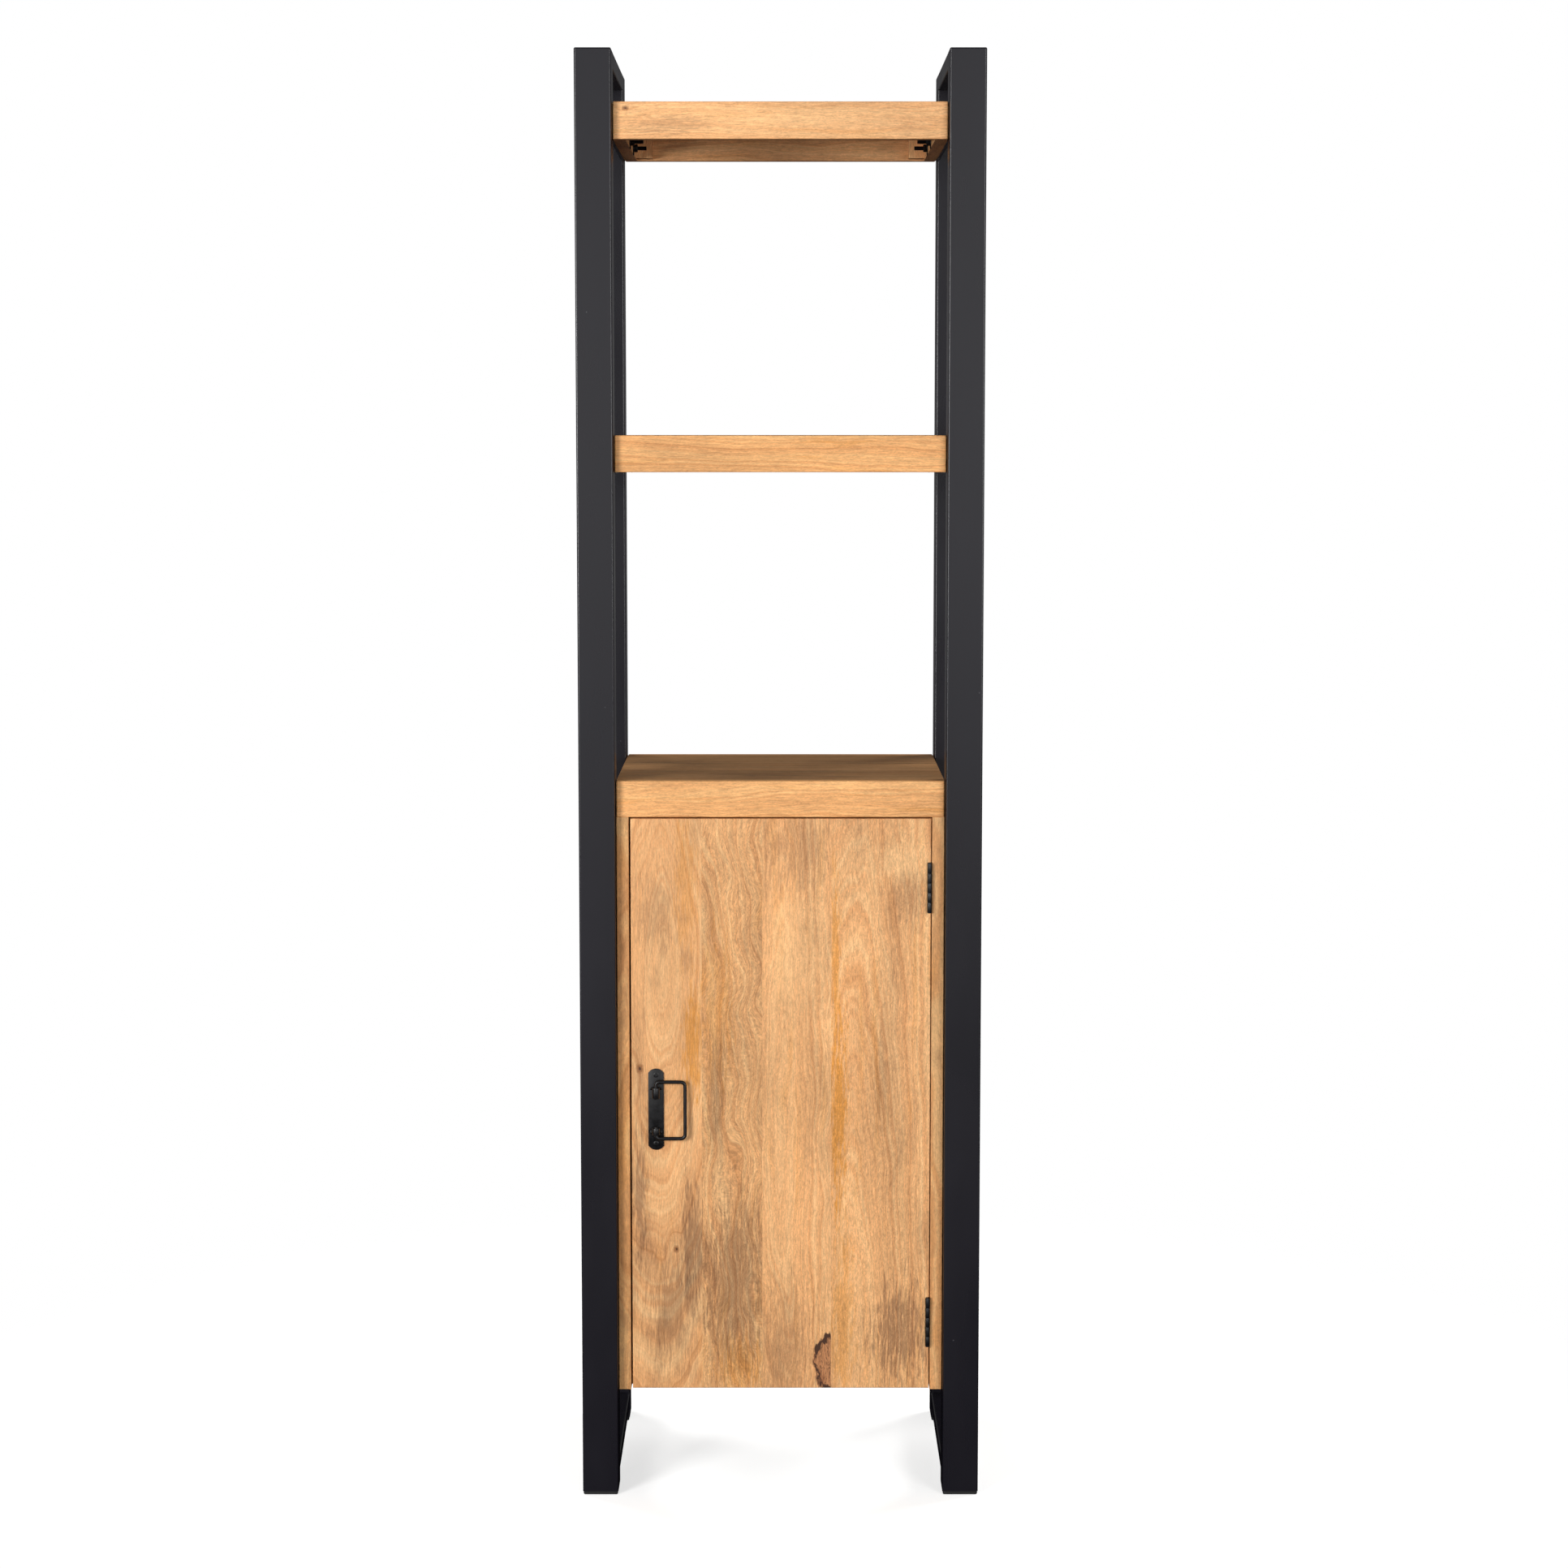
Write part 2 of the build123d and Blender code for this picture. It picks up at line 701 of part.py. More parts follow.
with BuildPart() as magnetic_catch:
    span_box(
        (-side_inner, catch_front, catch_middle - catch_height / 2),
        (catch_width - side_inner, catch_front + catch_depth, catch_middle + catch_height / 2),
    )
    fillet(magnetic_catch.faces().sort_by(Axis.X)[-1].edges(), catch_round)
    screws(
        catch_screw_planes,
        screw_head_diameter, catch_width + catch_screw_length, screw_clearance, Mode.SUBTRACT,
    )
save(magnetic_catch, "magnetic_catch")

with BuildPart() as catch_screws:
    screws(catch_screw_planes, screw_head_diameter, catch_width + catch_screw_length)
save(catch_screws, "catch_screws")

with BuildPart() as strike_plate:
    span_box(
        (strike_left, door_back, catch_middle - strike_height / 2),
        (strike_left + strike_width, door_back + strike_thickness, catch_middle + strike_height / 2),
    )
    screws(
        [strike_screw_plane],
        screw_head_diameter, strike_screw_length, screw_clearance, Mode.SUBTRACT,
    )
save(strike_plate, "strike_plate")

with BuildPart() as strike_screw:
    screws([strike_screw_plane], screw_head_diameter, strike_screw_length)
save(strike_screw, "strike_screw")
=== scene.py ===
import json
import math
from dataclasses import dataclass

import bmesh
import bpy
from bpy.props import FloatProperty, FloatVectorProperty, PointerProperty
from mathutils import Matrix, Vector

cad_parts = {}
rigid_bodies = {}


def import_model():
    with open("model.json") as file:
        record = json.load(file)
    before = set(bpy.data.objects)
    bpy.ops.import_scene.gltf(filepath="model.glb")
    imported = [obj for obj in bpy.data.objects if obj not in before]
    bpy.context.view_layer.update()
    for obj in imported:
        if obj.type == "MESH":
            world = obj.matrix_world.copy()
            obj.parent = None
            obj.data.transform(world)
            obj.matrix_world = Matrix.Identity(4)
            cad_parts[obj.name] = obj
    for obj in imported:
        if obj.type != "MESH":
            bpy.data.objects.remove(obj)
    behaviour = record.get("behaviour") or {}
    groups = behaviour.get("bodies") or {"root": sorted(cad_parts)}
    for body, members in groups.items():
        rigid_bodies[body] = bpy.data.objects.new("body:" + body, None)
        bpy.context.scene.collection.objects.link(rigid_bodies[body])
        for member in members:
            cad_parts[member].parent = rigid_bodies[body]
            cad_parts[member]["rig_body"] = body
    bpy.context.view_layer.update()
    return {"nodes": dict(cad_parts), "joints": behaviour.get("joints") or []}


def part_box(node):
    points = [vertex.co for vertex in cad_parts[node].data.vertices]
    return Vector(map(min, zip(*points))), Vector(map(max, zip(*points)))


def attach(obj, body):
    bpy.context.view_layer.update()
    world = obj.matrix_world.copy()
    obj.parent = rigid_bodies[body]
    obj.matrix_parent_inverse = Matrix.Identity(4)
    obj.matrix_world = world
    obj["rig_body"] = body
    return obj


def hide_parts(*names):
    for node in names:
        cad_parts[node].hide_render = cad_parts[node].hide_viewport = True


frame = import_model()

# Looks for a tall bookcase: a black steel frame, mango-wood box shelves and a cupboard with one door.
# Lengths are in metres, +Z is up and the door faces -Y, as in the frame.

bl_info = {
    "name": "Mango Wood Bookcase",
    "version": (1, 0, 0),
    "blender": (4, 5, 0),
    "location": "View3D > Sidebar > Bookcase",
    "description": "Finishes the bookcase's wood and steel and makes its handle, hinges and fasteners",
    "category": "Object",
}

MM = 0.001
SMOOTH_ANGLE = math.radians(35)
# How far a new piece may reach past the one that it replaces
FIT_SLACK = 3 * MM
# A full-frame sensor, in millimetres
SENSOR_WIDTH = 36.0
LEFT, RIGHT = -1, 1


def srgb(code):
    """Turns an sRGB hex colour into linear red, green and blue."""
    values = [int(code[place:place + 2], 16) / 255 for place in (0, 2, 4)]
    return tuple(v / 12.92 if v <= 0.04045 else ((v + 0.055) / 1.055) ** 2.4 for v in values)


# ---- What a user may change ----


def colour_setting(name, description, code):
    """A colour that the user may change. It starts as an sRGB hex colour."""
    return FloatVectorProperty(
        name=name, description=description, default=srgb(code), size=3, subtype="COLOR", min=0, max=1
    )


def length_setting(name, description, default, least, most):
    """A length that the user may change, in metres."""
    return FloatProperty(
        name=name, description=description, default=default, unit="LENGTH", min=least, max=most
    )


def power_setting(name, description, default):
    """The power of a lamp in watts."""
    return FloatProperty(name=name, description=description, default=default, min=0, max=2000)


class MangoWoodSettings(bpy.types.PropertyGroup):
    """Colours and grain sizes of the mango wood."""

    pale: colour_setting("Pale wood", "Lightest bands of the sapwood", "F2BF86")
    middle: colour_setting("Middle wood", "The wood's usual colour", "E3A76F")
    dark: colour_setting("Dark wood", "Darkest growth bands", "C48651")
    smoke: colour_setting("Smoky streaks", "What the grey-brown streaks are multiplied by", "B5B2B6")
    gold: colour_setting("Golden streaks", "Colour of the golden streaks", "D8903C")
    pore: colour_setting("Pores", "Colour in the open pores", "85522C")
    knot: colour_setting("Knots", "Colour of a knot's heart and of bark", "3A2117")
    band_width: length_setting("Band width", "From one broad growth band to the next", 0.015, 0.002, 0.1)
    stave_width: length_setting("Stave width", "Width of the boards that make a wide panel", 0.088, 0.03, 0.3)
    roughness: FloatProperty(
        name="Roughness", description="Roughness of the satin lacquer",
        default=0.44, min=0, max=1, subtype="FACTOR",
    )


class MetalSettings(bpy.types.PropertyGroup):
    """Colours of the steel parts."""

    coat: colour_setting("Powder coat", "Colour of the black powder coat", "131119")
    iron: colour_setting("Lacquered iron", "Colour of the lacquer on handle, hinges and bolts", "0D0C0E")
    nickel: colour_setting("Nickel", "Colour of the nickel plate", "C9C5BD")


class HandleSettings(bpy.types.PropertyGroup):
    """Sizes of the bail handle's details."""

    plate_thickness: length_setting("Plate thickness", "Thickness of the back plate", 0.002, 0.001, 0.005)
    plate_end_rise: length_setting("Plate end rise", "How far the plate's arc ends bulge", 0.006, 0.002, 0.01)
    rod: length_setting("Bail rod", "Diameter of the bail's rod", 0.005, 0.003, 0.008)
    lug_radius: length_setting("Lug radius", "Radius of the lugs that hold the bail", 0.0053, 0.003, 0.01)
    upper_lug: FloatVectorProperty(
        name="Upper lug", description="The upper lug's middle above the handle's middle, and its height",
        default=(0.0245, 0.015), size=2, unit="LENGTH",
    )
    lower_lug: FloatVectorProperty(
        name="Lower lug", description="The lower lug's middle above the handle's middle, and its height",
        default=(-0.030, 0.0094), size=2, unit="LENGTH",
    )
    screw_inset: length_setting("Screw inset", "From the plate's end to its screw", 0.009, 0.003, 0.02)
    edge: length_setting("Eased edge", "Width of the eased edges", 0.0004, 0, 0.001)


class StudioSettings(bpy.types.PropertyGroup):
    """Camera, lights and floor."""

    camera_distance: length_setting("Camera distance", "From the bookcase's middle to it", 4.445, 2, 10)
    camera_height: length_setting("Camera height", "Height of the camera above the floor", 1.489, 0.2, 3)
    camera_tilt: FloatProperty(
        name="Camera tilt", description="How far the camera looks down",
        default=math.radians(5.845), unit="ROTATION", min=-0.5, max=0.5,
    )
    focal_length: FloatProperty(
        name="Focal length", description="Focal length in millimetres", default=71.6, min=20, max=200
    )
    lens_shift: FloatVectorProperty(
        name="Lens shift", description="Shift of the lens across and up, as a share of the frame",
        default=(0.0023, -0.022), size=2,
    )
    key: power_setting("Key light", "Main softbox, at the front on the left", 160)
    fill: power_setting("Fill light", "Softbox at the front on the right", 70)
    rear: power_setting("Rear light", "Softbox behind, on the right", 140)
    rear_left: power_setting("Rear left light", "Softbox behind, on the left", 100)
    floor: colour_setting("Floor", "Colour of the studio floor", "F4F3F1")


# ---- Nodes and materials ----


def add(tree, kind, inputs=(), stops=(), **settings):
    """Adds one node with its settings, its inputs and a colour ramp's stops."""
    made = tree.nodes.new(f"ShaderNode{kind}")
    for name, value in settings.items():
        setattr(made, name, value)
    feed(tree, made, inputs)
    for place, (position, colour) in enumerate(stops):
        ramp = made.color_ramp.elements
        stop = ramp[place] if place < len(ramp) else ramp.new(position)
        stop.position = position
        stop.color = (*colour, 1.0)
    return made


def feed(tree, node, inputs):
    """Sets a node's inputs, or links them, by name or as a list in the node's own order."""
    shown = [socket for socket in node.inputs if socket.enabled]
    if not isinstance(inputs, dict):
        inputs = dict(enumerate(inputs))
    for key, value in inputs.items():
        socket = shown[key] if isinstance(key, int) else next(s for s in shown if s.name == key)
        if isinstance(value, bpy.types.Node):
            value = next(s for s in value.outputs if s.enabled)
        if isinstance(value, bpy.types.NodeSocket):
            tree.links.new(value, socket)
        elif socket.type == "RGBA":
            socket.default_value = (*value, 1.0)
        else:
            socket.default_value = value


def start_material(name, values):
    """Starts a material with its Principled shader and the values of that shader's own sockets."""
    material = bpy.data.materials.new(name)
    material.use_nodes = True
    tree = material.node_tree
    tree.nodes.clear()
    shader = add(tree, "BsdfPrincipled", values)
    add(tree, "OutputMaterial", {"Surface": shader})
    return material, tree, shader


def stretched_noise(tree, place, size, seed, detail=2.0, distortion=0.0):
    """Noise whose patches have the given size in millimetres along each axis of place."""
    shares = [1 / length for length in size]
    scaled = add(
        tree, "VectorMath", [place, shares, (seed * 5.3, seed * 2.9, seed * 1.7)], operation="MULTIPLY_ADD"
    )
    return add(
        tree, "TexNoise", {"Vector": scaled, "Scale": 1.0, "Detail": detail, "Distortion": distortion}
    )


def millimetres(tree):
    """The place on the object, in millimetres."""
    place = add(tree, "TexCoord").outputs["Object"]
    return add(tree, "VectorMath", [place, 1 / MM], operation="SCALE")


@dataclass
class Look:
    """How one board was cut from the log. Its places are in millimetres from the board's middle."""

    seed: float = 0.0
    heart: tuple = (55.0, 40.0)
    slope: float = 0.03
    cross: float = 0.0
    swirl: float = 12.0
    smoke: float = 0.5
    gold: float = 0.35
    fleck: float = 0.5
    # tone and red make a board lighter, darker or redder; the low tone of the cupboard's top board is painted
    # shade
    tone: float = 1.0
    red: float = 0.0
    knots: tuple = ()
    pocket: tuple = ()
    patches: tuple = ()
    staves: bool = False


def cut_into_staves(tree, place, width, seed):
    """Moves the grain from one glued stave of a panel to the next.

    Gives the moved place, a chance for each stave, and the glue lines.
    """
    parts = add(tree, "SeparateXYZ", [place])
    count = add(tree, "Math", [parts.outputs["Y"], width], operation="DIVIDE")
    index = add(tree, "Math", [count], operation="ROUND")
    chance = add(tree, "TexWhiteNoise", {"W": index, "Vector": (seed, seed, seed)}, noise_dimensions="4D")
    shift = add(tree, "VectorMath", [chance.outputs["Color"], (900.0, 150.0, 40.0)], operation="MULTIPLY")
    moved = add(tree, "VectorMath", [place, shift])
    offset = add(tree, "Math", [count, index], operation="SUBTRACT")
    distance = add(tree, "Math", [offset], operation="ABSOLUTE")
    line = add(tree, "MapRange", [distance, 0.5 - 0.9 / width, 0.5 - 0.2 / width])
    return moved, chance.outputs["Value"], line


def knot_distance(tree, place, along, across, squash=0.75):
    """Distance in millimetres from a knot's middle, measured shorter along the grain."""
    flat = add(tree, "VectorMath", [place, (squash, 1.0, 0.0)], operation="MULTIPLY")
    return add(tree, "VectorMath", [flat, (along * squash, across, 0.0)], operation="DISTANCE")


def ring_bands(tree, place, look, band_width):
    """Growth bands: irregular stripes at equal distances from the pith line, which swell round the knots."""
    parts = add(tree, "SeparateXYZ", [place])
    wander = stretched_noise(tree, place, (330.0, 70.0, 60.0), look.seed, 1.5)
    ripple = stretched_noise(tree, place, (60.0, 16.0, 30.0), look.seed + 3)
    side = add(tree, "Math", [parts.outputs["Y"], look.heart[0] + 25.0], operation="SUBTRACT")
    side = add(tree, "Math", [wander, 50.0, side], operation="MULTIPLY_ADD")
    deep = add(tree, "Math", [parts.outputs["Z"], look.heart[1]], operation="ADD")
    run = add(tree, "Math", [parts.outputs["X"], look.cross], operation="SUBTRACT")
    deep = add(tree, "Math", [run, look.slope, deep], operation="MULTIPLY_ADD")
    across = add(tree, "CombineXYZ", {"X": side, "Y": deep})
    radius = add(tree, "VectorMath", [across], operation="LENGTH")
    radius = add(tree, "Math", [ripple, 6.0, radius], operation="MULTIPLY_ADD")
    for along, sideways, size in look.knots:
        distance = knot_distance(tree, place, along, sideways, 0.35)
        swell = add(
            tree, "MapRange", [distance, 0.0, size * 5, size * 2.5, 0.0], interpolation_type="SMOOTHERSTEP"
        )
        radius = add(tree, "Math", [radius, swell])
    turn = add(tree, "Math", [radius, 1 / band_width], operation="MULTIPLY")
    return add(
        tree, "TexNoise", {"W": turn, "Scale": 1.0, "Detail": 4.0, "Roughness": 0.8}, noise_dimensions="1D"
    )


def mango_wood(node, axes, look):
    """Glued and planed mango wood under satin lacquer, for one board of the bookcase.

    It gives the eye pale gold sapwood with soft growth bands, smoky and golden streaks that run with the
    grain, a speckle from its interlocked fibres, and short open pores. axes are the axes of the frame that
    the grain, the face's width and the thickness run along.
    """
    wood = bpy.context.scene.mango_wood
    low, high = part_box(node)
    middle = (low + high) / 2
    material, tree, shader = start_material(f"satin_mango_{node}", {"IOR": 1.5, "Specular IOR Level": 0.38})
    split = add(tree, "SeparateXYZ", [add(tree, "TexCoord").outputs["Object"]])
    turned = add(tree, "CombineXYZ", {place: split.outputs[axis] for place, axis in enumerate(axes)})
    place = add(
        tree, "Mapping",
        {"Vector": turned, "Location": [-middle[axis] / MM for axis in axes], "Scale": [1 / MM] * 3},
    )
    flat_place = place
    if look.staves:
        place, chance, glue_lines = cut_into_staves(tree, place, wood.stave_width / MM, look.seed)
    # The grain swirls from side to side, as interlocked grain does
    swirl = stretched_noise(tree, place, (110.0, 55.0, 55.0), look.seed + 29, 1.0)
    swirl = add(tree, "Math", [swirl, look.swirl], operation="MULTIPLY")
    sideways = add(tree, "CombineXYZ", {"Y": swirl})
    place = add(tree, "VectorMath", [place, sideways])

    def shade(colour):
        """A wood colour made lighter, darker or redder for this board; on the cupboard's top board the
        darkening is painted shade.
        """
        tints = (look.tone, look.tone * (1 - look.red / 4), look.tone * (1 - look.red))
        return tuple(part * tint for part, tint in zip(colour, tints))

    # Growth bands, about 15 mm from one broad band to the next, with finer bands inside them
    bands = ring_bands(tree, place, look, wood.band_width / MM)
    colour = add(
        tree, "ValToRGB", {"Fac": bands},
        stops=zip((0.24, 0.45, 0.66, 0.8), map(shade, (wood.dark, wood.middle, wood.pale, wood.middle))),
    )

    # Golden streaks, a hand long and a finger wide
    gold_noise = stretched_noise(tree, place, (170.0, 13.0, 30.0), look.seed + 7, 4.0, 0.4)
    gold_part = add(tree, "MapRange", [gold_noise, 0.56, 0.74, 0.0, look.gold])
    colour = add(tree, "Mix", [gold_part, colour, shade(wood.gold)], data_type="RGBA")

    # Smoky patches, two hands long, broken up into streaks
    smoke_patch = stretched_noise(tree, place, (150.0, 42.0, 50.0), look.seed + 11, 5.0, 0.6)
    smoke_streak = stretched_noise(tree, place, (95.0, 6.0, 20.0), look.seed + 12, 3.0, 0.4)
    smoke = add(tree, "Math", [smoke_streak, 0.45, smoke_patch], operation="MULTIPLY_ADD")
    smoke_part = add(tree, "MapRange", [smoke, 0.74, 1.0, 0.0, look.smoke], interpolation_type="SMOOTHSTEP")
    colour = add(tree, "Mix", [smoke_part, colour, wood.smoke], data_type="RGBA", blend_type="MULTIPLY")

    for patch in look.patches:
        colour = ragged_patch(tree, flat_place, colour, patch, look.seed)

    # Fibres are 0.2 mm wide and are drawn 1.4 mm wide, so that they show from across a room
    fibre = stretched_noise(tree, place, (15.0, 1.4, 1.6), look.seed + 13)
    # Flecks of interlocked grain, about 6 by 2.3 mm
    fleck = stretched_noise(tree, place, (6.0, 2.3, 4.0), look.seed + 17, 2.5, 1.2)
    # Broad light and dark patches
    patch = stretched_noise(tree, place, (230.0, 70.0, 60.0), look.seed + 19)
    value = add(tree, "MapRange", [patch, 0.3, 0.7, 0.86, 1.12])
    for noise, change in ((fibre, 0.14), (fleck, 0.22 * look.fleck)):
        part = add(tree, "MapRange", [noise, 0.32, 0.68, 1 - change, 1 + change])
        value = add(tree, "Math", [value, part], operation="MULTIPLY")
    if look.staves:
        part = add(tree, "MapRange", [chance, 0.0, 1.0, 0.84, 1.08])
        value = add(tree, "Math", [value, part], operation="MULTIPLY")
    colour = add(tree, "HueSaturation", {"Value": value, "Color": colour})

    # Open pores, 6 mm long; 0.3 mm wide in the wood and drawn 0.9 mm wide
    pore_place = add(tree, "VectorMath", [place, (1 / 6.5, 1 / 1.4, 1 / 2.5)], operation="MULTIPLY")
    pore_cell = add(tree, "TexVoronoi", {"Vector": pore_place, "Scale": 1.0})
    pore = add(tree, "MapRange", [pore_cell, 0.08, 0.34, 0.28, 0.0])
    colour = add(tree, "Mix", [pore, colour, wood.pore], data_type="RGBA")

    if look.staves:
        line = add(tree, "Math", [glue_lines, 0.45], operation="MULTIPLY")
        colour = add(tree, "Mix", [line, colour, wood.pore], data_type="RGBA")
    for knot in look.knots:
        colour = knot_colour(tree, flat_place, colour, knot)
    if look.pocket:
        colour = bark_pocket(tree, flat_place, colour, look.pocket)

    # The lacquer fills the grain only in part, so it is duller over the pores and they can be felt
    dull = add(tree, "MapRange", [fibre, 0.3, 0.7, wood.roughness + 0.06, wood.roughness - 0.05])
    height = add(tree, "Math", [fibre, pore], operation="SUBTRACT")
    relief = add(tree, "Bump", {"Height": height, "Strength": 0.35, "Distance": 0.00025})
    feed(tree, shader, {"Base Color": colour, "Roughness": dull, "Normal": relief})
    return material


def reach_from(tree, place, along, across, half_length, half_width):
    """How far a point lies from the middle of an oval patch. It is 1 on the oval."""
    away = add(tree, "VectorMath", [place, (along, across, 0.0)], operation="SUBTRACT")
    away = add(tree, "VectorMath", [away, (1 / half_length, 1 / half_width, 0.0)], operation="MULTIPLY")
    return add(tree, "VectorMath", [away], operation="LENGTH")


def ragged_patch(tree, place, colour, patch, seed):
    """Tints a patch with ragged edges at a known place: (tint, along, across, length, width, strength)."""
    tint, along, across, length, width, strength = patch
    reach = reach_from(tree, place, along, across, length / 2, width / 2)
    ragged = stretched_noise(tree, place, (26.0, 3.0, 20.0), seed + along, 5.0, 0.6)
    edge = add(tree, "Math", [ragged, 3.0, reach], operation="MULTIPLY_ADD")
    part = add(tree, "MapRange", [edge, 1.9, 2.6, strength, 0.0])
    way = "MULTIPLY" if tint == "smoke" else "MIX"
    tinted = getattr(bpy.context.scene.mango_wood, tint)
    return add(tree, "Mix", [part, colour, tinted], data_type="RGBA", blend_type=way)


def knot_colour(tree, place, colour, knot):
    """Darkens a small round knot: a dark heart in a red-brown ring. A knot is (along, across, radius)."""
    wood = bpy.context.scene.mango_wood
    along, across, size = knot
    distance = knot_distance(tree, place, along, across)
    ragged = stretched_noise(tree, place, (3.0, 3.0, 3.0), along)
    edge = add(tree, "Math", [ragged, size * 0.9, distance], operation="MULTIPLY_ADD")
    for reach, shade, most in ((1.9, wood.pore, 0.75), (0.95, wood.knot, 0.9)):
        part = add(tree, "MapRange", [edge, size * reach * 0.62, size * reach, most, 0.0])
        colour = add(tree, "Mix", [part, colour, shade], data_type="RGBA")
    return colour


def bark_pocket(tree, place, colour, pocket):
    """Adds a pocket of dark bark round red-brown wood: (along, across, half length, half width)."""
    reach = reach_from(tree, place, *pocket)
    ragged = stretched_noise(tree, place, (16.0, 7.0, 10.0), 4.0, 3.0, 0.3)
    reach = add(tree, "Math", [ragged, 0.7, reach], operation="MULTIPLY_ADD")
    inside = add(tree, "MapRange", [reach, 1.27, 1.37, 0.75, 0.0])
    colour = add(tree, "Mix", [inside, colour, srgb("B5744A")], data_type="RGBA")
    # The bark itself is a broken rim, thick in some places and thin in others
    off_rim = add(tree, "Math", [reach, 1.22], operation="SUBTRACT")
    off_rim = add(tree, "Math", [off_rim], operation="ABSOLUTE")
    thick = stretched_noise(tree, place, (17.0, 40.0, 40.0), 2.0, 1.0)
    thick = add(tree, "MapRange", [thick, 0.35, 0.62, 0.0, 0.15])
    off_rim = add(tree, "Math", [off_rim, thick], operation="SUBTRACT")
    rim = add(tree, "MapRange", [off_rim, -0.02, 0.05, 0.95, 0.0])
    crack = stretched_noise(tree, place, (22.0, 4.0, 10.0), 9.0, 3.0, 1.5)
    crack = add(tree, "Math", [crack, 0.5], operation="SUBTRACT")
    crack = add(tree, "Math", [crack], operation="ABSOLUTE")
    crack = add(tree, "MapRange", [crack, 0.01, 0.05, 1.0, 0.0])
    crack = add(tree, "Math", [crack, inside], operation="MULTIPLY")
    dark = add(tree, "Math", [rim, crack], operation="MAXIMUM")
    return add(tree, "Mix", [dark, colour, bpy.context.scene.mango_wood.knot], data_type="RGBA")


def mottle(tree, noise, darkest, lightest, colour):
    """Makes a colour a little darker and lighter where a noise is low and high."""
    value = add(tree, "MapRange", [noise, 0.3, 0.7, darkest, lightest])
    return add(tree, "HueSaturation", {"Value": value, "Color": colour})


def powder_coat():
    """Black polyester powder coat on mild steel tube, sprayed and baked.

    It gives the eye an even, nearly matt black with a soft broad sheen and a faint orange peel.
    """
    values = {"Specular IOR Level": 0.42, "IOR": 1.5}
    material, tree, shader = start_material("matt_powder_coat_on_steel", values)
    place = millimetres(tree)
    drift = stretched_noise(tree, place, (90.0, 90.0, 260.0), 2.0, 3.0)
    colour = mottle(tree, drift, 0.88, 1.12, bpy.context.scene.bookcase_metal.coat)
    # A few pale specks of dust, half a millimetre in the coat and drawn 1.2 mm wide, about 60 mm apart
    dust_place = add(tree, "VectorMath", [place, 1 / 60.0], operation="SCALE")
    dust = add(tree, "TexVoronoi", {"Vector": dust_place, "Scale": 1.0})
    dust = add(tree, "MapRange", [dust, 0.01, 0.02, 0.25, 0.0])
    colour = add(tree, "Mix", [dust, colour, srgb("8A888C")], data_type="RGBA")
    rough = add(tree, "MapRange", [drift, 0.3, 0.7, 0.25, 0.31])
    # Orange peel is 0.8 mm from hill to hill and is drawn 2.2 mm
    peel = stretched_noise(tree, place, (2.2, 2.2, 2.2), 5.0)
    relief = add(tree, "Bump", {"Height": peel, "Strength": 0.12, "Distance": 0.0002})
    feed(tree, shader, {"Base Color": colour, "Roughness": rough, "Normal": relief})
    return material


def lacquered_iron():
    """Black lacquer over forged iron, brushed on thin.

    It gives the eye a deep black with small uneven highlights, brighter where the lacquer has pooled.
    """
    values = {"Specular IOR Level": 0.4, "IOR": 1.5}
    material, tree, shader = start_material("black_lacquer_on_forged_iron", values)
    place = millimetres(tree)
    # Hammer marks, about 5 mm across
    hammer = stretched_noise(tree, place, (5.0, 5.0, 5.0), 1.0)
    colour = mottle(tree, hammer, 0.75, 1.3, bpy.context.scene.bookcase_metal.iron)
    rough = add(tree, "MapRange", [hammer, 0.3, 0.7, 0.3, 0.44])
    relief = add(tree, "Bump", {"Height": hammer, "Strength": 0.25, "Distance": 0.0004})
    feed(tree, shader, {"Base Color": colour, "Roughness": rough, "Normal": relief})
    return material


def nickel_plate():
    """Nickel plate on turned steel.

    It gives the eye a warm silver with fine turning lines.
    """
    material, tree, shader = start_material("nickel_plated_steel", {"Metallic": 1.0})
    place = millimetres(tree)
    lines = stretched_noise(tree, place, (0.6, 6.0, 6.0), 3.0)
    colour = mottle(tree, lines, 0.9, 1.05, bpy.context.scene.bookcase_metal.nickel)
    rough = add(tree, "MapRange", [lines, 0.0, 1.0, 0.2, 0.38])
    feed(tree, shader, {"Base Color": colour, "Roughness": rough})
    return material


def moulded_plastic(name, code, grit):
    """Injection-moulded plastic with the fine grit of a spark-eroded mould, grit millimetres apart.

    It gives the eye a soft even sheen over a barely rough skin.
    """
    material, tree, shader = start_material(name, {"IOR": 1.5})
    place = millimetres(tree)
    grain = stretched_noise(tree, place, (grit, grit, grit), 6.0)
    colour = mottle(tree, grain, 0.92, 1.08, srgb(code))
    rough = add(tree, "MapRange", [grain, 0.0, 1.0, 0.42, 0.6])
    relief = add(tree, "Bump", {"Height": grain, "Strength": 0.4, "Distance": 0.0001})
    feed(tree, shader, {"Base Color": colour, "Roughness": rough, "Normal": relief})
    return material


def beech():
    """Turned beech dowel, left raw.

    It gives the eye a pale pinkish wood with short brown flecks.
    """
    material, tree, shader = start_material("raw_beech", {"Roughness": 0.65})
    place = millimetres(tree)
    fleck = stretched_noise(tree, place, (1.5, 1.5, 5.0), 8.0, 3.0)
    colour = add(tree, "ValToRGB", {"Fac": fleck}, stops=((0.35, srgb("B98A62")), (0.55, srgb("DDB78E"))))
    feed(tree, shader, {"Base Color": colour})
    return material


_made = {}


def shared(maker, *values):
    """A material that several pieces share. It is made once."""
    key = (maker.__name__, *values)
    if key not in _made:
        _made[key] = maker(*values)
    return _made[key]


def finish_node(node, material):
    """Gives a CAD node its material."""
    piece = frame["nodes"][node]
    for place in piece.material_slots:
        place.material = material


# ---- Modelling ----


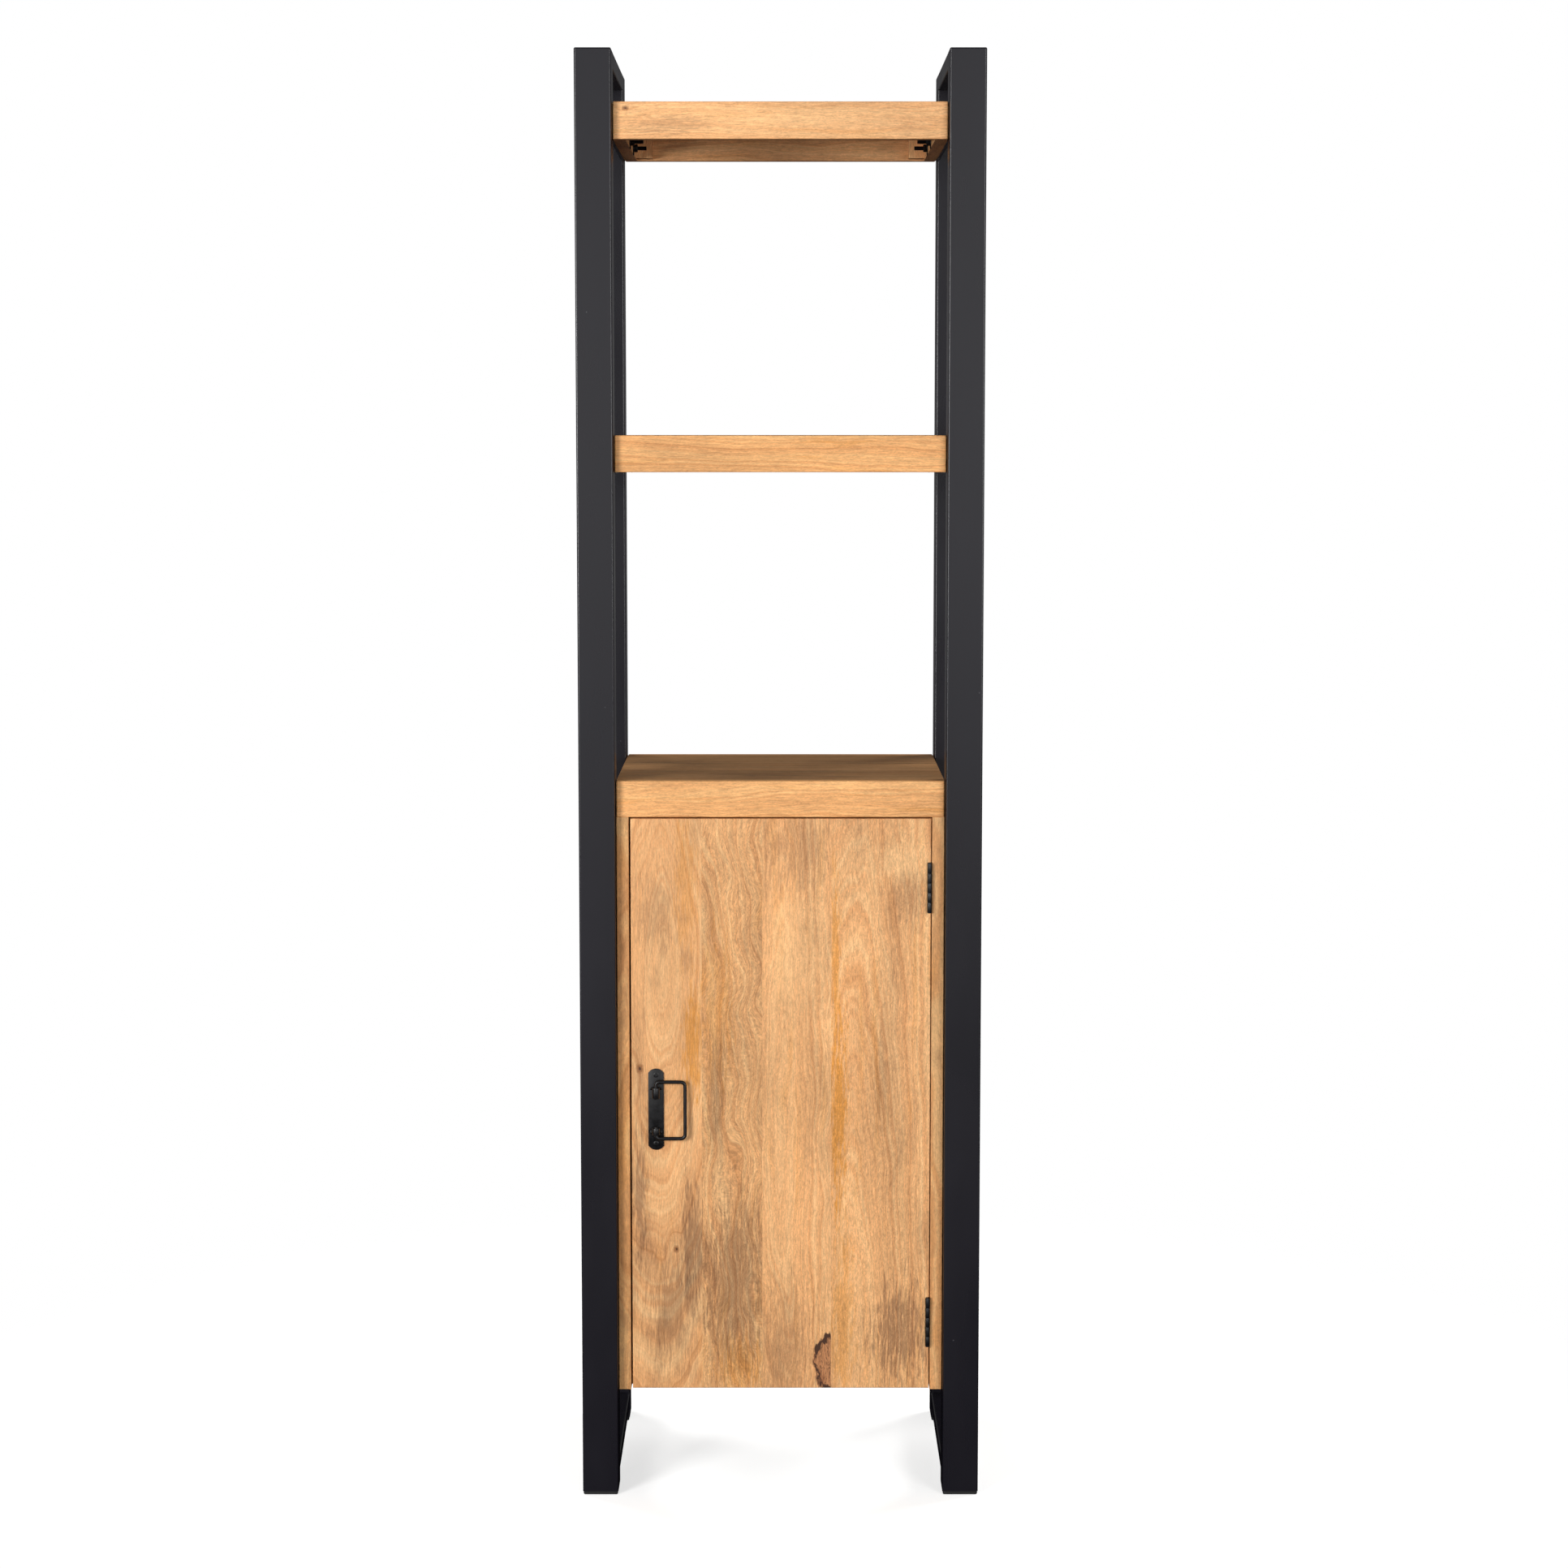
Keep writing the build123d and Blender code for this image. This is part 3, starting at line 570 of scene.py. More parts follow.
def close():
    """Leaves edit mode."""
    if bpy.context.mode != "OBJECT":
        bpy.ops.object.mode_set(mode="OBJECT")


def deselect():
    """Leaves edit mode and selects nothing."""
    close()
    bpy.ops.object.select_all(action="DESELECT")


def take(*pieces):
    """Selects these pieces alone, and makes the first one active."""
    deselect()
    for piece in pieces:
        piece.select_set(True)
    bpy.context.view_layer.objects.active = pieces[0]


def open_up(piece):
    """Bakes a piece's place into its mesh and opens it in edit mode."""
    take(piece)
    bpy.ops.object.transform_apply(location=True, rotation=True, scale=True)
    bpy.ops.object.mode_set(mode="EDIT")


def cylinder(sides, radius, length, place=(0, 0, 0), **settings):
    """Adds an upright cylinder whose middle is at place."""
    deselect()
    bpy.ops.mesh.primitive_cylinder_add(
        vertices=sides, radius=radius, depth=length, location=place, **settings
    )
    return bpy.context.object


def extrude(*run):
    """In edit mode, extrudes what is selected along a run."""
    bpy.ops.mesh.extrude_region_move(TRANSFORM_OT_translate={"value": run})


def choose(kind, test):
    """In edit mode, selects only the vertices, edges or faces that pass a test."""
    bpy.ops.mesh.select_mode(type=kind)
    bpy.ops.mesh.select_all(action="DESELECT")
    data = bpy.context.object.data
    shape = bmesh.from_edit_mesh(data)
    for item in {"VERT": shape.verts, "EDGE": shape.edges, "FACE": shape.faces}[kind]:
        if test(item):
            item.select_set(True)
    bmesh.update_edit_mesh(data)


def facing(direction, least=0.9):
    """A test for faces that point in a direction."""
    return lambda face: face.normal.dot(Vector(direction)) > least


def ease_edges(piece, width, angle=40.0, segments=2):
    """Rounds a piece's sharp edges."""
    take(piece)
    bpy.ops.object.modifier_add(type="BEVEL")
    bevel = piece.modifiers[-1]
    bevel.width = width
    bevel.segments = segments
    bevel.limit_method = "ANGLE"
    bevel.angle_limit = math.radians(angle)
    bpy.ops.object.modifier_apply(modifier=bevel.name)


def cut_away(piece, cutter):
    """Cuts one piece out of another."""
    take(piece)
    bpy.ops.object.modifier_add(type="BOOLEAN")
    cut = piece.modifiers[-1]
    cut.operation = "DIFFERENCE"
    cut.solver = "EXACT"
    cut.object = cutter
    bpy.ops.object.modifier_apply(modifier=cut.name)
    bpy.data.objects.remove(cutter)


def join(pieces):
    """Joins several pieces into the first one."""
    take(*pieces)
    if len(pieces) > 1:
        bpy.ops.object.join()
    return bpy.context.object


def settle(piece, name, node, turn_out=True):
    """Finishes an iron piece that stands for a CAD node, and fixes it to that node's body."""
    open_up(piece)
    bpy.ops.mesh.select_all(action="SELECT")
    bpy.ops.mesh.remove_doubles(threshold=1e-7)
    if turn_out:
        bpy.ops.mesh.normals_make_consistent(inside=False)
    close()
    bpy.ops.object.shade_smooth_by_angle(angle=SMOOTH_ANGLE)
    piece.name = name
    piece.data.name = name
    piece.data.materials.clear()
    piece.data.materials.append(shared(lacquered_iron))
    low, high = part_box(node)
    for corner in piece.bound_box:
        if any(not low[axis] - FIT_SLACK < corner[axis] < high[axis] + FIT_SLACK for axis in range(3)):
            raise RuntimeError(f"{name} doesn't fit the place of {node}")
    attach(piece, frame["nodes"][node]["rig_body"])
    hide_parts(node)
    return piece


def standing(at, out, spin=0.0):
    """The place of a fastener whose head is at a point and faces a direction."""
    turn = Vector(out).to_track_quat("Z", "Y").to_matrix().to_4x4()
    return Matrix.Translation(at) @ turn @ Matrix.Rotation(spin, 4, "Z")


def copies(pattern, places):
    """Copies a pattern piece to each place, each copy with its own mesh, and joins them."""
    made = []
    for place in places:
        take(pattern)
        bpy.ops.object.duplicate(linked=False)
        copy = bpy.context.object
        copy.matrix_world = place
        made.append(copy)
    bpy.data.objects.remove(pattern)
    for copy in made:
        take(copy)
        bpy.ops.object.transform_apply(location=True, rotation=True, scale=True)
    return join(made)


def joint_point(name):
    """A point on a joint's axis."""
    joint = next(j for j in frame["joints"] if j["name"] == name)
    return Vector(joint["pos_m"])


def wood_screw(head_radius, shank_radius, length, slot_length):
    """A countersunk cross-head screw whose head is level with z = 0 and faces +Z."""
    drop = head_radius - shank_radius
    rim, dome, point, slot_width, slot_depth = head_radius * 0.16, 0.25 * MM, 3 * MM, 0.9 * MM, 1.5 * MM
    bpy.ops.mesh.primitive_cone_add(
        vertices=32, radius1=shank_radius, radius2=head_radius, depth=drop, location=(0, 0, -drop / 2)
    )
    screw = bpy.context.object
    open_up(screw)
    choose("FACE", facing((0, 0, 1)))
    bpy.ops.mesh.inset(thickness=rim)
    bpy.ops.transform.translate(value=(0, 0, dome))
    choose("FACE", facing((0, 0, -1)))
    extrude(0, 0, drop + point - length)
    extrude(0, 0, -point)
    bpy.ops.transform.resize(value=(0.1, 0.1, 1))
    close()
    for turn in (0, math.pi / 2):
        bpy.ops.mesh.primitive_cube_add(
            size=1, rotation=(0, 0, turn), scale=(slot_length, slot_width, slot_depth * 2)
        )
        cut_away(screw, bpy.context.object)
    return screw


class BOOKCASE_OT_handle_plate(bpy.types.Operator):
    """Make the handle's back plate with its arc ends, and the two lugs that the bail hangs in"""

    bl_idname = "bookcase.handle_plate"
    bl_label = "Handle Plate"

    def execute(self, context):
        sizes = context.scene.bookcase_handle
        low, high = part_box("handle_plate")
        axis = joint_point("handle_swing")
        half_width, half_length = (high.x - low.x) / 2, (high.z - low.z) / 2
        rise = sizes.plate_end_rise
        end_radius = (half_width ** 2 + rise ** 2) / (2 * rise)
        face = high.y - sizes.plate_thickness

        plate = cylinder(
            128, end_radius, sizes.plate_thickness, (axis.x, high.y - sizes.plate_thickness / 2, axis.z),
            rotation=(math.pi / 2, 0, 0),
        )
        open_up(plate)
        for side in (LEFT, RIGHT):
            bpy.ops.mesh.select_all(action="SELECT")
            bpy.ops.mesh.bisect(
                plane_co=(axis.x + side * half_width, face, axis.z), plane_no=(side, 0, 0),
                use_fill=True, clear_outer=True,
            )
        for half in (-1, 1):
            choose("VERT", lambda vertex: (vertex.co.z - axis.z) * half > MM)
            bpy.ops.transform.translate(value=(0, 0, half * (half_length - end_radius)))
        close()

        parts = [plate]
        for (offset, height), outwards in ((sizes.upper_lug, 1), (sizes.lower_lug, -1)):
            parts += self.lug(sizes, axis, face, axis.z + offset, height, outwards)
        for part in parts:
            ease_edges(part, sizes.edge)
        settle(join(parts), "plate_with_lugs", "handle_plate")
        return {"FINISHED"}

    def lug(self, sizes, axis, face, middle, height, outwards):
        """A bored half-round lug, the foot at its outer end and the two rivets that hold the foot."""
        play, sunk = 0.1 * MM, 0.2 * MM
        foot_height, foot_thickness, foot_width, foot_corner = 4.6 * MM, 1.0 * MM, 17.0 * MM, 1.6 * MM
        rivet_radius, rivet_inset = 1.5 * MM, 1.8 * MM
        lug = cylinder(48, sizes.lug_radius, height, (axis.x, axis.y, middle))
        open_up(lug)
        # The back half is pressed flat, a little below the plate's face
        choose("VERT", lambda vertex: vertex.co.y > axis.y + play)
        bpy.ops.transform.resize(value=(1.0, 0.0, 1.0), center_override=(axis.x, face + sunk, middle))
        close()
        cut_away(lug, cylinder(32, sizes.rod / 2 + play, height * 2, (axis.x, axis.y, middle)))

        foot_z = middle + outwards * (height - foot_height) / 2
        bpy.ops.mesh.primitive_cube_add(
            size=1, location=(axis.x, face - (foot_thickness - sunk) / 2, foot_z),
            scale=(foot_width, foot_thickness + sunk, foot_height),
        )
        foot = bpy.context.object
        open_up(foot)
        choose("EDGE", lambda edge: abs(edge.verts[0].co.y - edge.verts[1].co.y) > foot_thickness / 2)
        bpy.ops.mesh.bevel(offset=foot_corner, segments=4)
        close()

        rivets = []
        for side in (LEFT, RIGHT):
            bpy.ops.mesh.primitive_uv_sphere_add(
                segments=20, ring_count=12, radius=rivet_radius, scale=(1, 0.7, 1),
                location=(axis.x + side * (foot_width / 2 - rivet_inset), face - foot_thickness, foot_z),
            )
            rivets.append(bpy.context.object)
            open_up(rivets[-1])
            close()
        return [lug, foot, *rivets]


class BOOKCASE_OT_handle_bail(bpy.types.Operator):
    """Make the bail: one round rod bent four times, whose hooked ends hang in the lugs"""

    bl_idname = "bookcase.handle_bail"
    bl_label = "Handle Bail"

    def execute(self, context):
        sizes = context.scene.bookcase_handle
        low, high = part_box("handle_bail")
        axis = joint_point("handle_swing")
        radius = sizes.rod / 2
        hook_bend, corner_bend, tip = 5 * MM, 6 * MM, 1.5 * MM
        half_span = (high.z - low.z) / 2 - radius
        reach = high.x - radius - axis.x
        start = axis.z + sizes.upper_lug[0] - sizes.upper_lug[1] / 2 - tip
        end = axis.z + sizes.lower_lug[0] + sizes.lower_lug[1] / 2 + tip
        top, bottom = axis.z + half_span, axis.z - half_span
        level_run = reach - hook_bend - corner_bend

        deselect()
        bpy.ops.mesh.primitive_circle_add(
            vertices=28, radius=radius, fill_type="NGON", location=(axis.x, axis.y, start)
        )
        bail = bpy.context.object
        open_up(bail)
        bpy.ops.mesh.select_all(action="SELECT")
        bpy.ops.mesh.select_mode(type="FACE")
        # Each leg is a straight run, and the middle of the quarter bend that follows it
        legs = (
            ((0, 0, top - hook_bend - start), hook_bend, top - hook_bend),
            ((level_run, 0, 0), reach - corner_bend, top - corner_bend),
            ((0, 0, 2 * (corner_bend - half_span)), reach - corner_bend, bottom + corner_bend),
            ((-level_run, 0, 0), hook_bend, bottom + hook_bend),
        )
        for run, out, height in legs:
            extrude(*run)
            centre = (axis.x + out, axis.y, height)
            bpy.ops.mesh.spin(steps=10, angle=-math.pi / 2, center=centre, axis=(0, 1, 0))
        extrude(0, 0, end - bottom - hook_bend)
        bpy.ops.mesh.select_all(action="SELECT")
        bpy.ops.mesh.normals_make_consistent(inside=False)
        close()
        ease_edges(bail, 0.7 * MM, angle=60.0, segments=3)
        settle(bail, "bent_rod_bail", "handle_bail")
        return {"FINISHED"}


class BOOKCASE_OT_handle_screws(bpy.types.Operator):
    """Make the two cross-head screws that hold the handle's plate"""

    bl_idname = "bookcase.handle_screws"
    bl_label = "Handle Screws"

    def execute(self, context):
        sizes = context.scene.bookcase_handle
        low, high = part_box("handle_screws")
        plate_low, plate_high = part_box("handle_plate")
        middle_x = (low.x + high.x) / 2
        heights = (plate_low.z + sizes.screw_inset, plate_high.z - sizes.screw_inset)
        screw = wood_screw((high.x - low.x) / 2, 1.5 * MM, high.y - low.y, 4.4 * MM)
        places = [
            standing((middle_x, low.y, z), (0, -1, 0), math.radians(turn))
            for z, turn in zip(heights, (20, 65))
        ]
        settle(copies(screw, places), "plate_screws", "handle_screws")
        return {"FINISHED"}


class BOOKCASE_OT_hinges(bpy.types.Operator):
    """Make the hinge leaves with eased edges and the screws in the leaves, and give the pins their lacquer"""

    bl_idname = "bookcase.hinges"
    bl_label = "Hinges"

    def execute(self, context):
        for hinge in ("lower", "upper"):
            finish_node(f"{hinge}_hinge_pin", shared(lacquered_iron))
            for owner, name in (("cabinet", "fixed"), ("door", "swinging")):
                node = f"{hinge}_hinge_{owner}_leaf"
                leaf = bpy.data.objects.new("leaf", frame["nodes"][node].data.copy())
                context.scene.collection.objects.link(leaf)
                open_up(leaf)
                bpy.ops.mesh.select_all(action="SELECT")
                bpy.ops.mesh.remove_doubles(threshold=1e-6)
                bpy.ops.mesh.dissolve_limited(angle_limit=math.radians(1))
                close()
                ease_edges(leaf, 0.18 * MM, angle=50.0)
                settle(leaf, f"{hinge}_{name}_leaf", node, turn_out=False)

        spacing = 22 * MM
        for node, name, side in (
            ("cabinet_hinge_screws", "fixed_leaf_screws", LEFT),
            ("door_hinge_screws", "swinging_leaf_screws", RIGHT),
        ):
            low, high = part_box(node)
            head_x = low.x if side == LEFT else high.x
            head_radius = (high.y - low.y) / 2
            screw = wood_screw(head_radius, 1.5 * MM, high.x - low.x, 3.4 * MM)
            y = low.y + head_radius
            places = [
                standing((head_x, y, middle + step * spacing), (side, 0, 0), step * 0.7 + middle)
                for middle in (low.z + head_radius + spacing, high.z - head_radius - spacing)
                for step in (-1, 0, 1)
            ]
            settle(copies(screw, places), name, node)
        return {"FINISHED"}


# Frame bolts are M6. Hexagons are measured from flat to flat.
HEX_WIDTH = 10 * MM
BOLT_RADIUS = 3 * MM
BOLT_LENGTH = 40 * MM
HEAD_HEIGHT = 4 * MM
NUT_HEIGHT = 5 * MM
WASHER_RADIUS = 10 * MM
WASHER_THICKNESS = 1.5 * MM
STRAP_WIDTH = 20 * MM


def bolt_places():
    """The side, y and z of each bolt that holds the wood to the frame."""
    low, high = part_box("frame_washers")
    rows = (low.y + WASHER_RADIUS, high.y - WASHER_RADIUS)
    half = STRAP_WIDTH / 2
    top, middle, cabinet = (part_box(f"{name}_straps") for name in ("top_shelf", "middle_shelf", "cabinet"))
    levels = (top[0].z + half, middle[0].z + half, cabinet[1].z - half, cabinet[0].z + half)
    return [(side, y, z) for side in (LEFT, RIGHT) for z in levels for y in rows]


def washer_seat(z):
    """How far from the middle the washers at a height lie against the wood."""
    low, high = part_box("cabinet_right_side")
    if low.z < z < high.z:
        return low.x
    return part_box("top_shelf_right_apron")[0].x


class BOOKCASE_OT_frame_fasteners(bpy.types.Operator):
    """Make the hex bolts with their threads, the washers and the nuts"""

    bl_idname = "bookcase.frame_fasteners"
    bl_label = "Frame Fasteners"

    def execute(self, context):
        head_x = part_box("frame_bolts")[1].x - HEAD_HEIGHT
        places = {"bolt": [], "washer": [], "nut": []}
        for number, (side, y, z) in enumerate(bolt_places()):
            # No two hexagons were tightened to the same angle
            turn = 0.4 * number
            washer_face = washer_seat(z) - WASHER_THICKNESS
            for kind, x, spin in (
                ("bolt", head_x, turn),
                ("washer", washer_face, 0.0),
                ("nut", washer_face - NUT_HEIGHT, turn + 0.3),
            ):
                places[kind].append(standing((side * x, y, z), (side, 0, 0), spin))
        patterns = (
            ("bolt", "hex_bolts", self.bolt()),
            ("washer", "round_washers", self.ring(48, WASHER_RADIUS, WASHER_THICKNESS)),
            ("nut", "hex_nuts", self.ring(6, HEX_WIDTH / math.sqrt(3), NUT_HEIGHT)),
        )
        for kind, name, pattern in patterns:
            made = copies(pattern, places[kind])
            settle(made, name, f"frame_{kind}s")
        return {"FINISHED"}

    def ring(self, corners, radius, thickness):
        """A washer or nut that stands on z = 0, bored a little wider than the bolt."""
        ring = cylinder(corners, radius, thickness, (0, 0, thickness / 2))
        cut_away(ring, cylinder(24, BOLT_RADIUS + 0.15 * MM, thickness * 4))
        ease_edges(ring, 0.35 * MM, angle=50.0)
        open_up(ring)
        close()
        return ring

    def bolt(self):
        """A hex bolt whose head stands on z = 0, with a ridged thread on the lower half of its shank."""
        head = cylinder(6, HEX_WIDTH / math.sqrt(3), HEAD_HEIGHT, (0, 0, HEAD_HEIGHT / 2))
        open_up(head)
        choose("FACE", facing((0, 0, 1)))
        bpy.ops.mesh.bevel(offset=0.7 * MM, segments=2)

        pitch, root = 1 * MM, 0.84
        plain = BOLT_LENGTH / 2
        shank = cylinder(20, BOLT_RADIUS, plain, (0, 0, -plain / 2))
        open_up(shank)
        choose("FACE", facing((0, 0, -1)))
        for _ in range(round((BOLT_LENGTH - plain) / pitch)):
            for share in (root, 1 / root):
                extrude(0, 0, -pitch / 2)
                bpy.ops.transform.resize(value=(share, share, 1))
        close()
        return join([head, shank])


class BOOKCASE_OT_steel_frame(bpy.types.Operator):
    """Coat the end frames and straps, and finish the floor glides"""

    bl_idname = "bookcase.steel_frame"
    bl_label = "Steel Frame"

    def execute(self, context):
        coat = shared(powder_coat)
        nodes = ["post_top_caps", "top_shelf_straps", "middle_shelf_straps", "cabinet_straps"]
        for side in ("left", "right"):
            nodes += [f"{side}_{end}_post" for end in ("front", "back")]
            nodes += [f"{side}_{end}_rail" for end in ("top", "bottom")]
        for node in nodes:
            finish_node(node, coat)
        finish_node("floor_glides", shared(moulded_plastic, "moulded_polyethylene", "1B1B1C", 1.2))
        return {"FINISHED"}


class BOOKCASE_OT_woodwork(bpy.types.Operator):
    """Give every board its own mango wood, cut from its own place in the log"""

    bl_idname = "bookcase.woodwork"
    bl_label = "Woodwork"

    # The axes that the grain, the face's width and the thickness run along
    upright = (2, 0, 1)
    upright_side = (2, 1, 0)
    level_face = (0, 2, 1)
    level_top = (0, 1, 2)
    deep = (1, 2, 0)

    def execute(self, context):
        for number, (node, axes, look) in enumerate(self.boards()):
            look.seed = number + 1.5
            finish_node(node, mango_wood(node, axes, look))
        finish_node("carcass_dowels", shared(beech))
        return {"FINISHED"}

    def boards(self):
        """Every board, its axes and its look."""
        door = (
            Look(
                heart=(-8, 0), slope=0.2, cross=150, gold=0.2, fleck=0.35, swirl=8,
                knots=((52.9, -37.3, 4.6), (-203.8, 13.1, 3.4)),
                patches=(
                    ("gold", 90, 37, 180, 30, 0.8), ("gold", 307, 28, 200, 34, 0.4),
                    ("smoke", 271, -15, 120, 66, 0.45), ("smoke", -132, -38, 190, 26, 0.85),
                    ("smoke", -196, 36, 180, 36, 0.85), ("smoke", -290, 5, 170, 80, 0.65),
                ),
            ),
            Look(
                heart=(-75, 20), slope=0.13, cross=-420, swirl=60, smoke=0.4, gold=0.4, fleck=1.0,
                tone=0.93, red=0.03,
                patches=(
                    ("gold", 128, -20, 240, 50, 0.35), ("gold", -370, 10, 90, 70, 0.5),
                    ("smoke", -250, 3, 280, 110, 0.75), ("smoke", 30, -21, 170, 24, 0.6),
                ),
            ),
            Look(
                heart=(-8, 14), slope=0.09, cross=40, swirl=22, smoke=0.3, gold=0.25, fleck=0.7, tone=1.03,
                pocket=(-366, 48, 41, 25),
                patches=(
                    ("pale", 215, 0, 200, 80, 0.5), ("smoke", 363, 5, 130, 90, 0.5),
                    ("smoke", -345, -8, 220, 90, 0.5), ("knot", -391, 36, 34, 10, 0.95),
                ),
            ),
            Look(
                heart=(-25, 8), slope=0.1, cross=-330, swirl=16, smoke=0.4, gold=0.3, fleck=0.85,
                patches=(
                    ("gold", -7, -58, 300, 26, 0.9), ("smoke", 60, 25, 300, 90, 0.2),
                    ("gold", 205, -63, 260, 15, 0.7), ("gold", -307, -52, 260, 36, 0.5),
                    ("pale", 341, 28, 66, 90, 0.9), ("smoke", 290, 37, 90, 56, 0.5),
                    ("smoke", -322, 30, 160, 90, 0.9),
                ),
            ),
        )
        for number, look in enumerate(door, 1):
            yield f"door_board_{number}", self.upright, look
        aprons = {
            "top_shelf": Look(
                heart=(8, 12), slope=0.06, cross=60, knots=((-209, 16, 3.0),), smoke=0.3, tone=1.06,
                patches=(("smoke", -150, -5, 130, 26, 0.45), ("pale", 60, 8, 220, 30, 0.5)),
            ),
            "middle_shelf": Look(heart=(-60, 20), slope=0.01, smoke=0.3, gold=0.5, red=0.16, tone=1.05),
            "cabinet_top": Look(heart=(30, 25), slope=0.03, smoke=0.35, gold=0.5, red=0.14, tone=1.07),
        }
        for shelf, look in aprons.items():
            # The cupboard's top board is painted darkest and a little redder: painted shade for the little
            # light that reaches its level face
            tone, red = (0.68, 0.03) if shelf == "cabinet_top" else (0.95, 0.0)
            top = Look(staves=True, smoke=0.9, heart=(30, 35), tone=tone, red=red)
            yield f"{shelf}_front_apron", self.level_face, look
            yield f"{shelf}_back_apron", self.level_face, Look(tone=0.95)
            yield f"{shelf}_board", self.level_top, top
            yield f"{shelf}_left_apron", self.deep, Look()
            yield f"{shelf}_right_apron", self.deep, Look(smoke=0.6, gold=0.2)
            yield f"{shelf}_corner_blocks", self.upright, Look(tone=1.04, smoke=0.2)
        yield "cabinet_left_side", self.upright_side, Look(staves=True, tone=0.82, red=0.14)
        yield "cabinet_right_side", self.upright_side, Look(staves=True, tone=0.86, red=0.08)
        yield "cabinet_floor", self.level_top, Look(staves=True, smoke=0.6)
        yield "cabinet_back", self.upright, Look(staves=True, tone=0.97)
        yield "inner_shelf", self.level_top, Look(staves=True)


class BOOKCASE_OT_fittings(bpy.types.Operator):
    """Finish the shelf pins, the magnetic catch and its strike plate"""

    bl_idname = "bookcase.fittings"
    bl_label = "Fittings"

    def execute(self, context):
        for node in ("shelf_pins", "catch_screws", "strike_plate", "strike_screw"):
            finish_node(node, shared(nickel_plate))
        finish_node("magnetic_catch", shared(moulded_plastic, "moulded_abs", "3B2B22", 1.0))
        return {"FINISHED"}


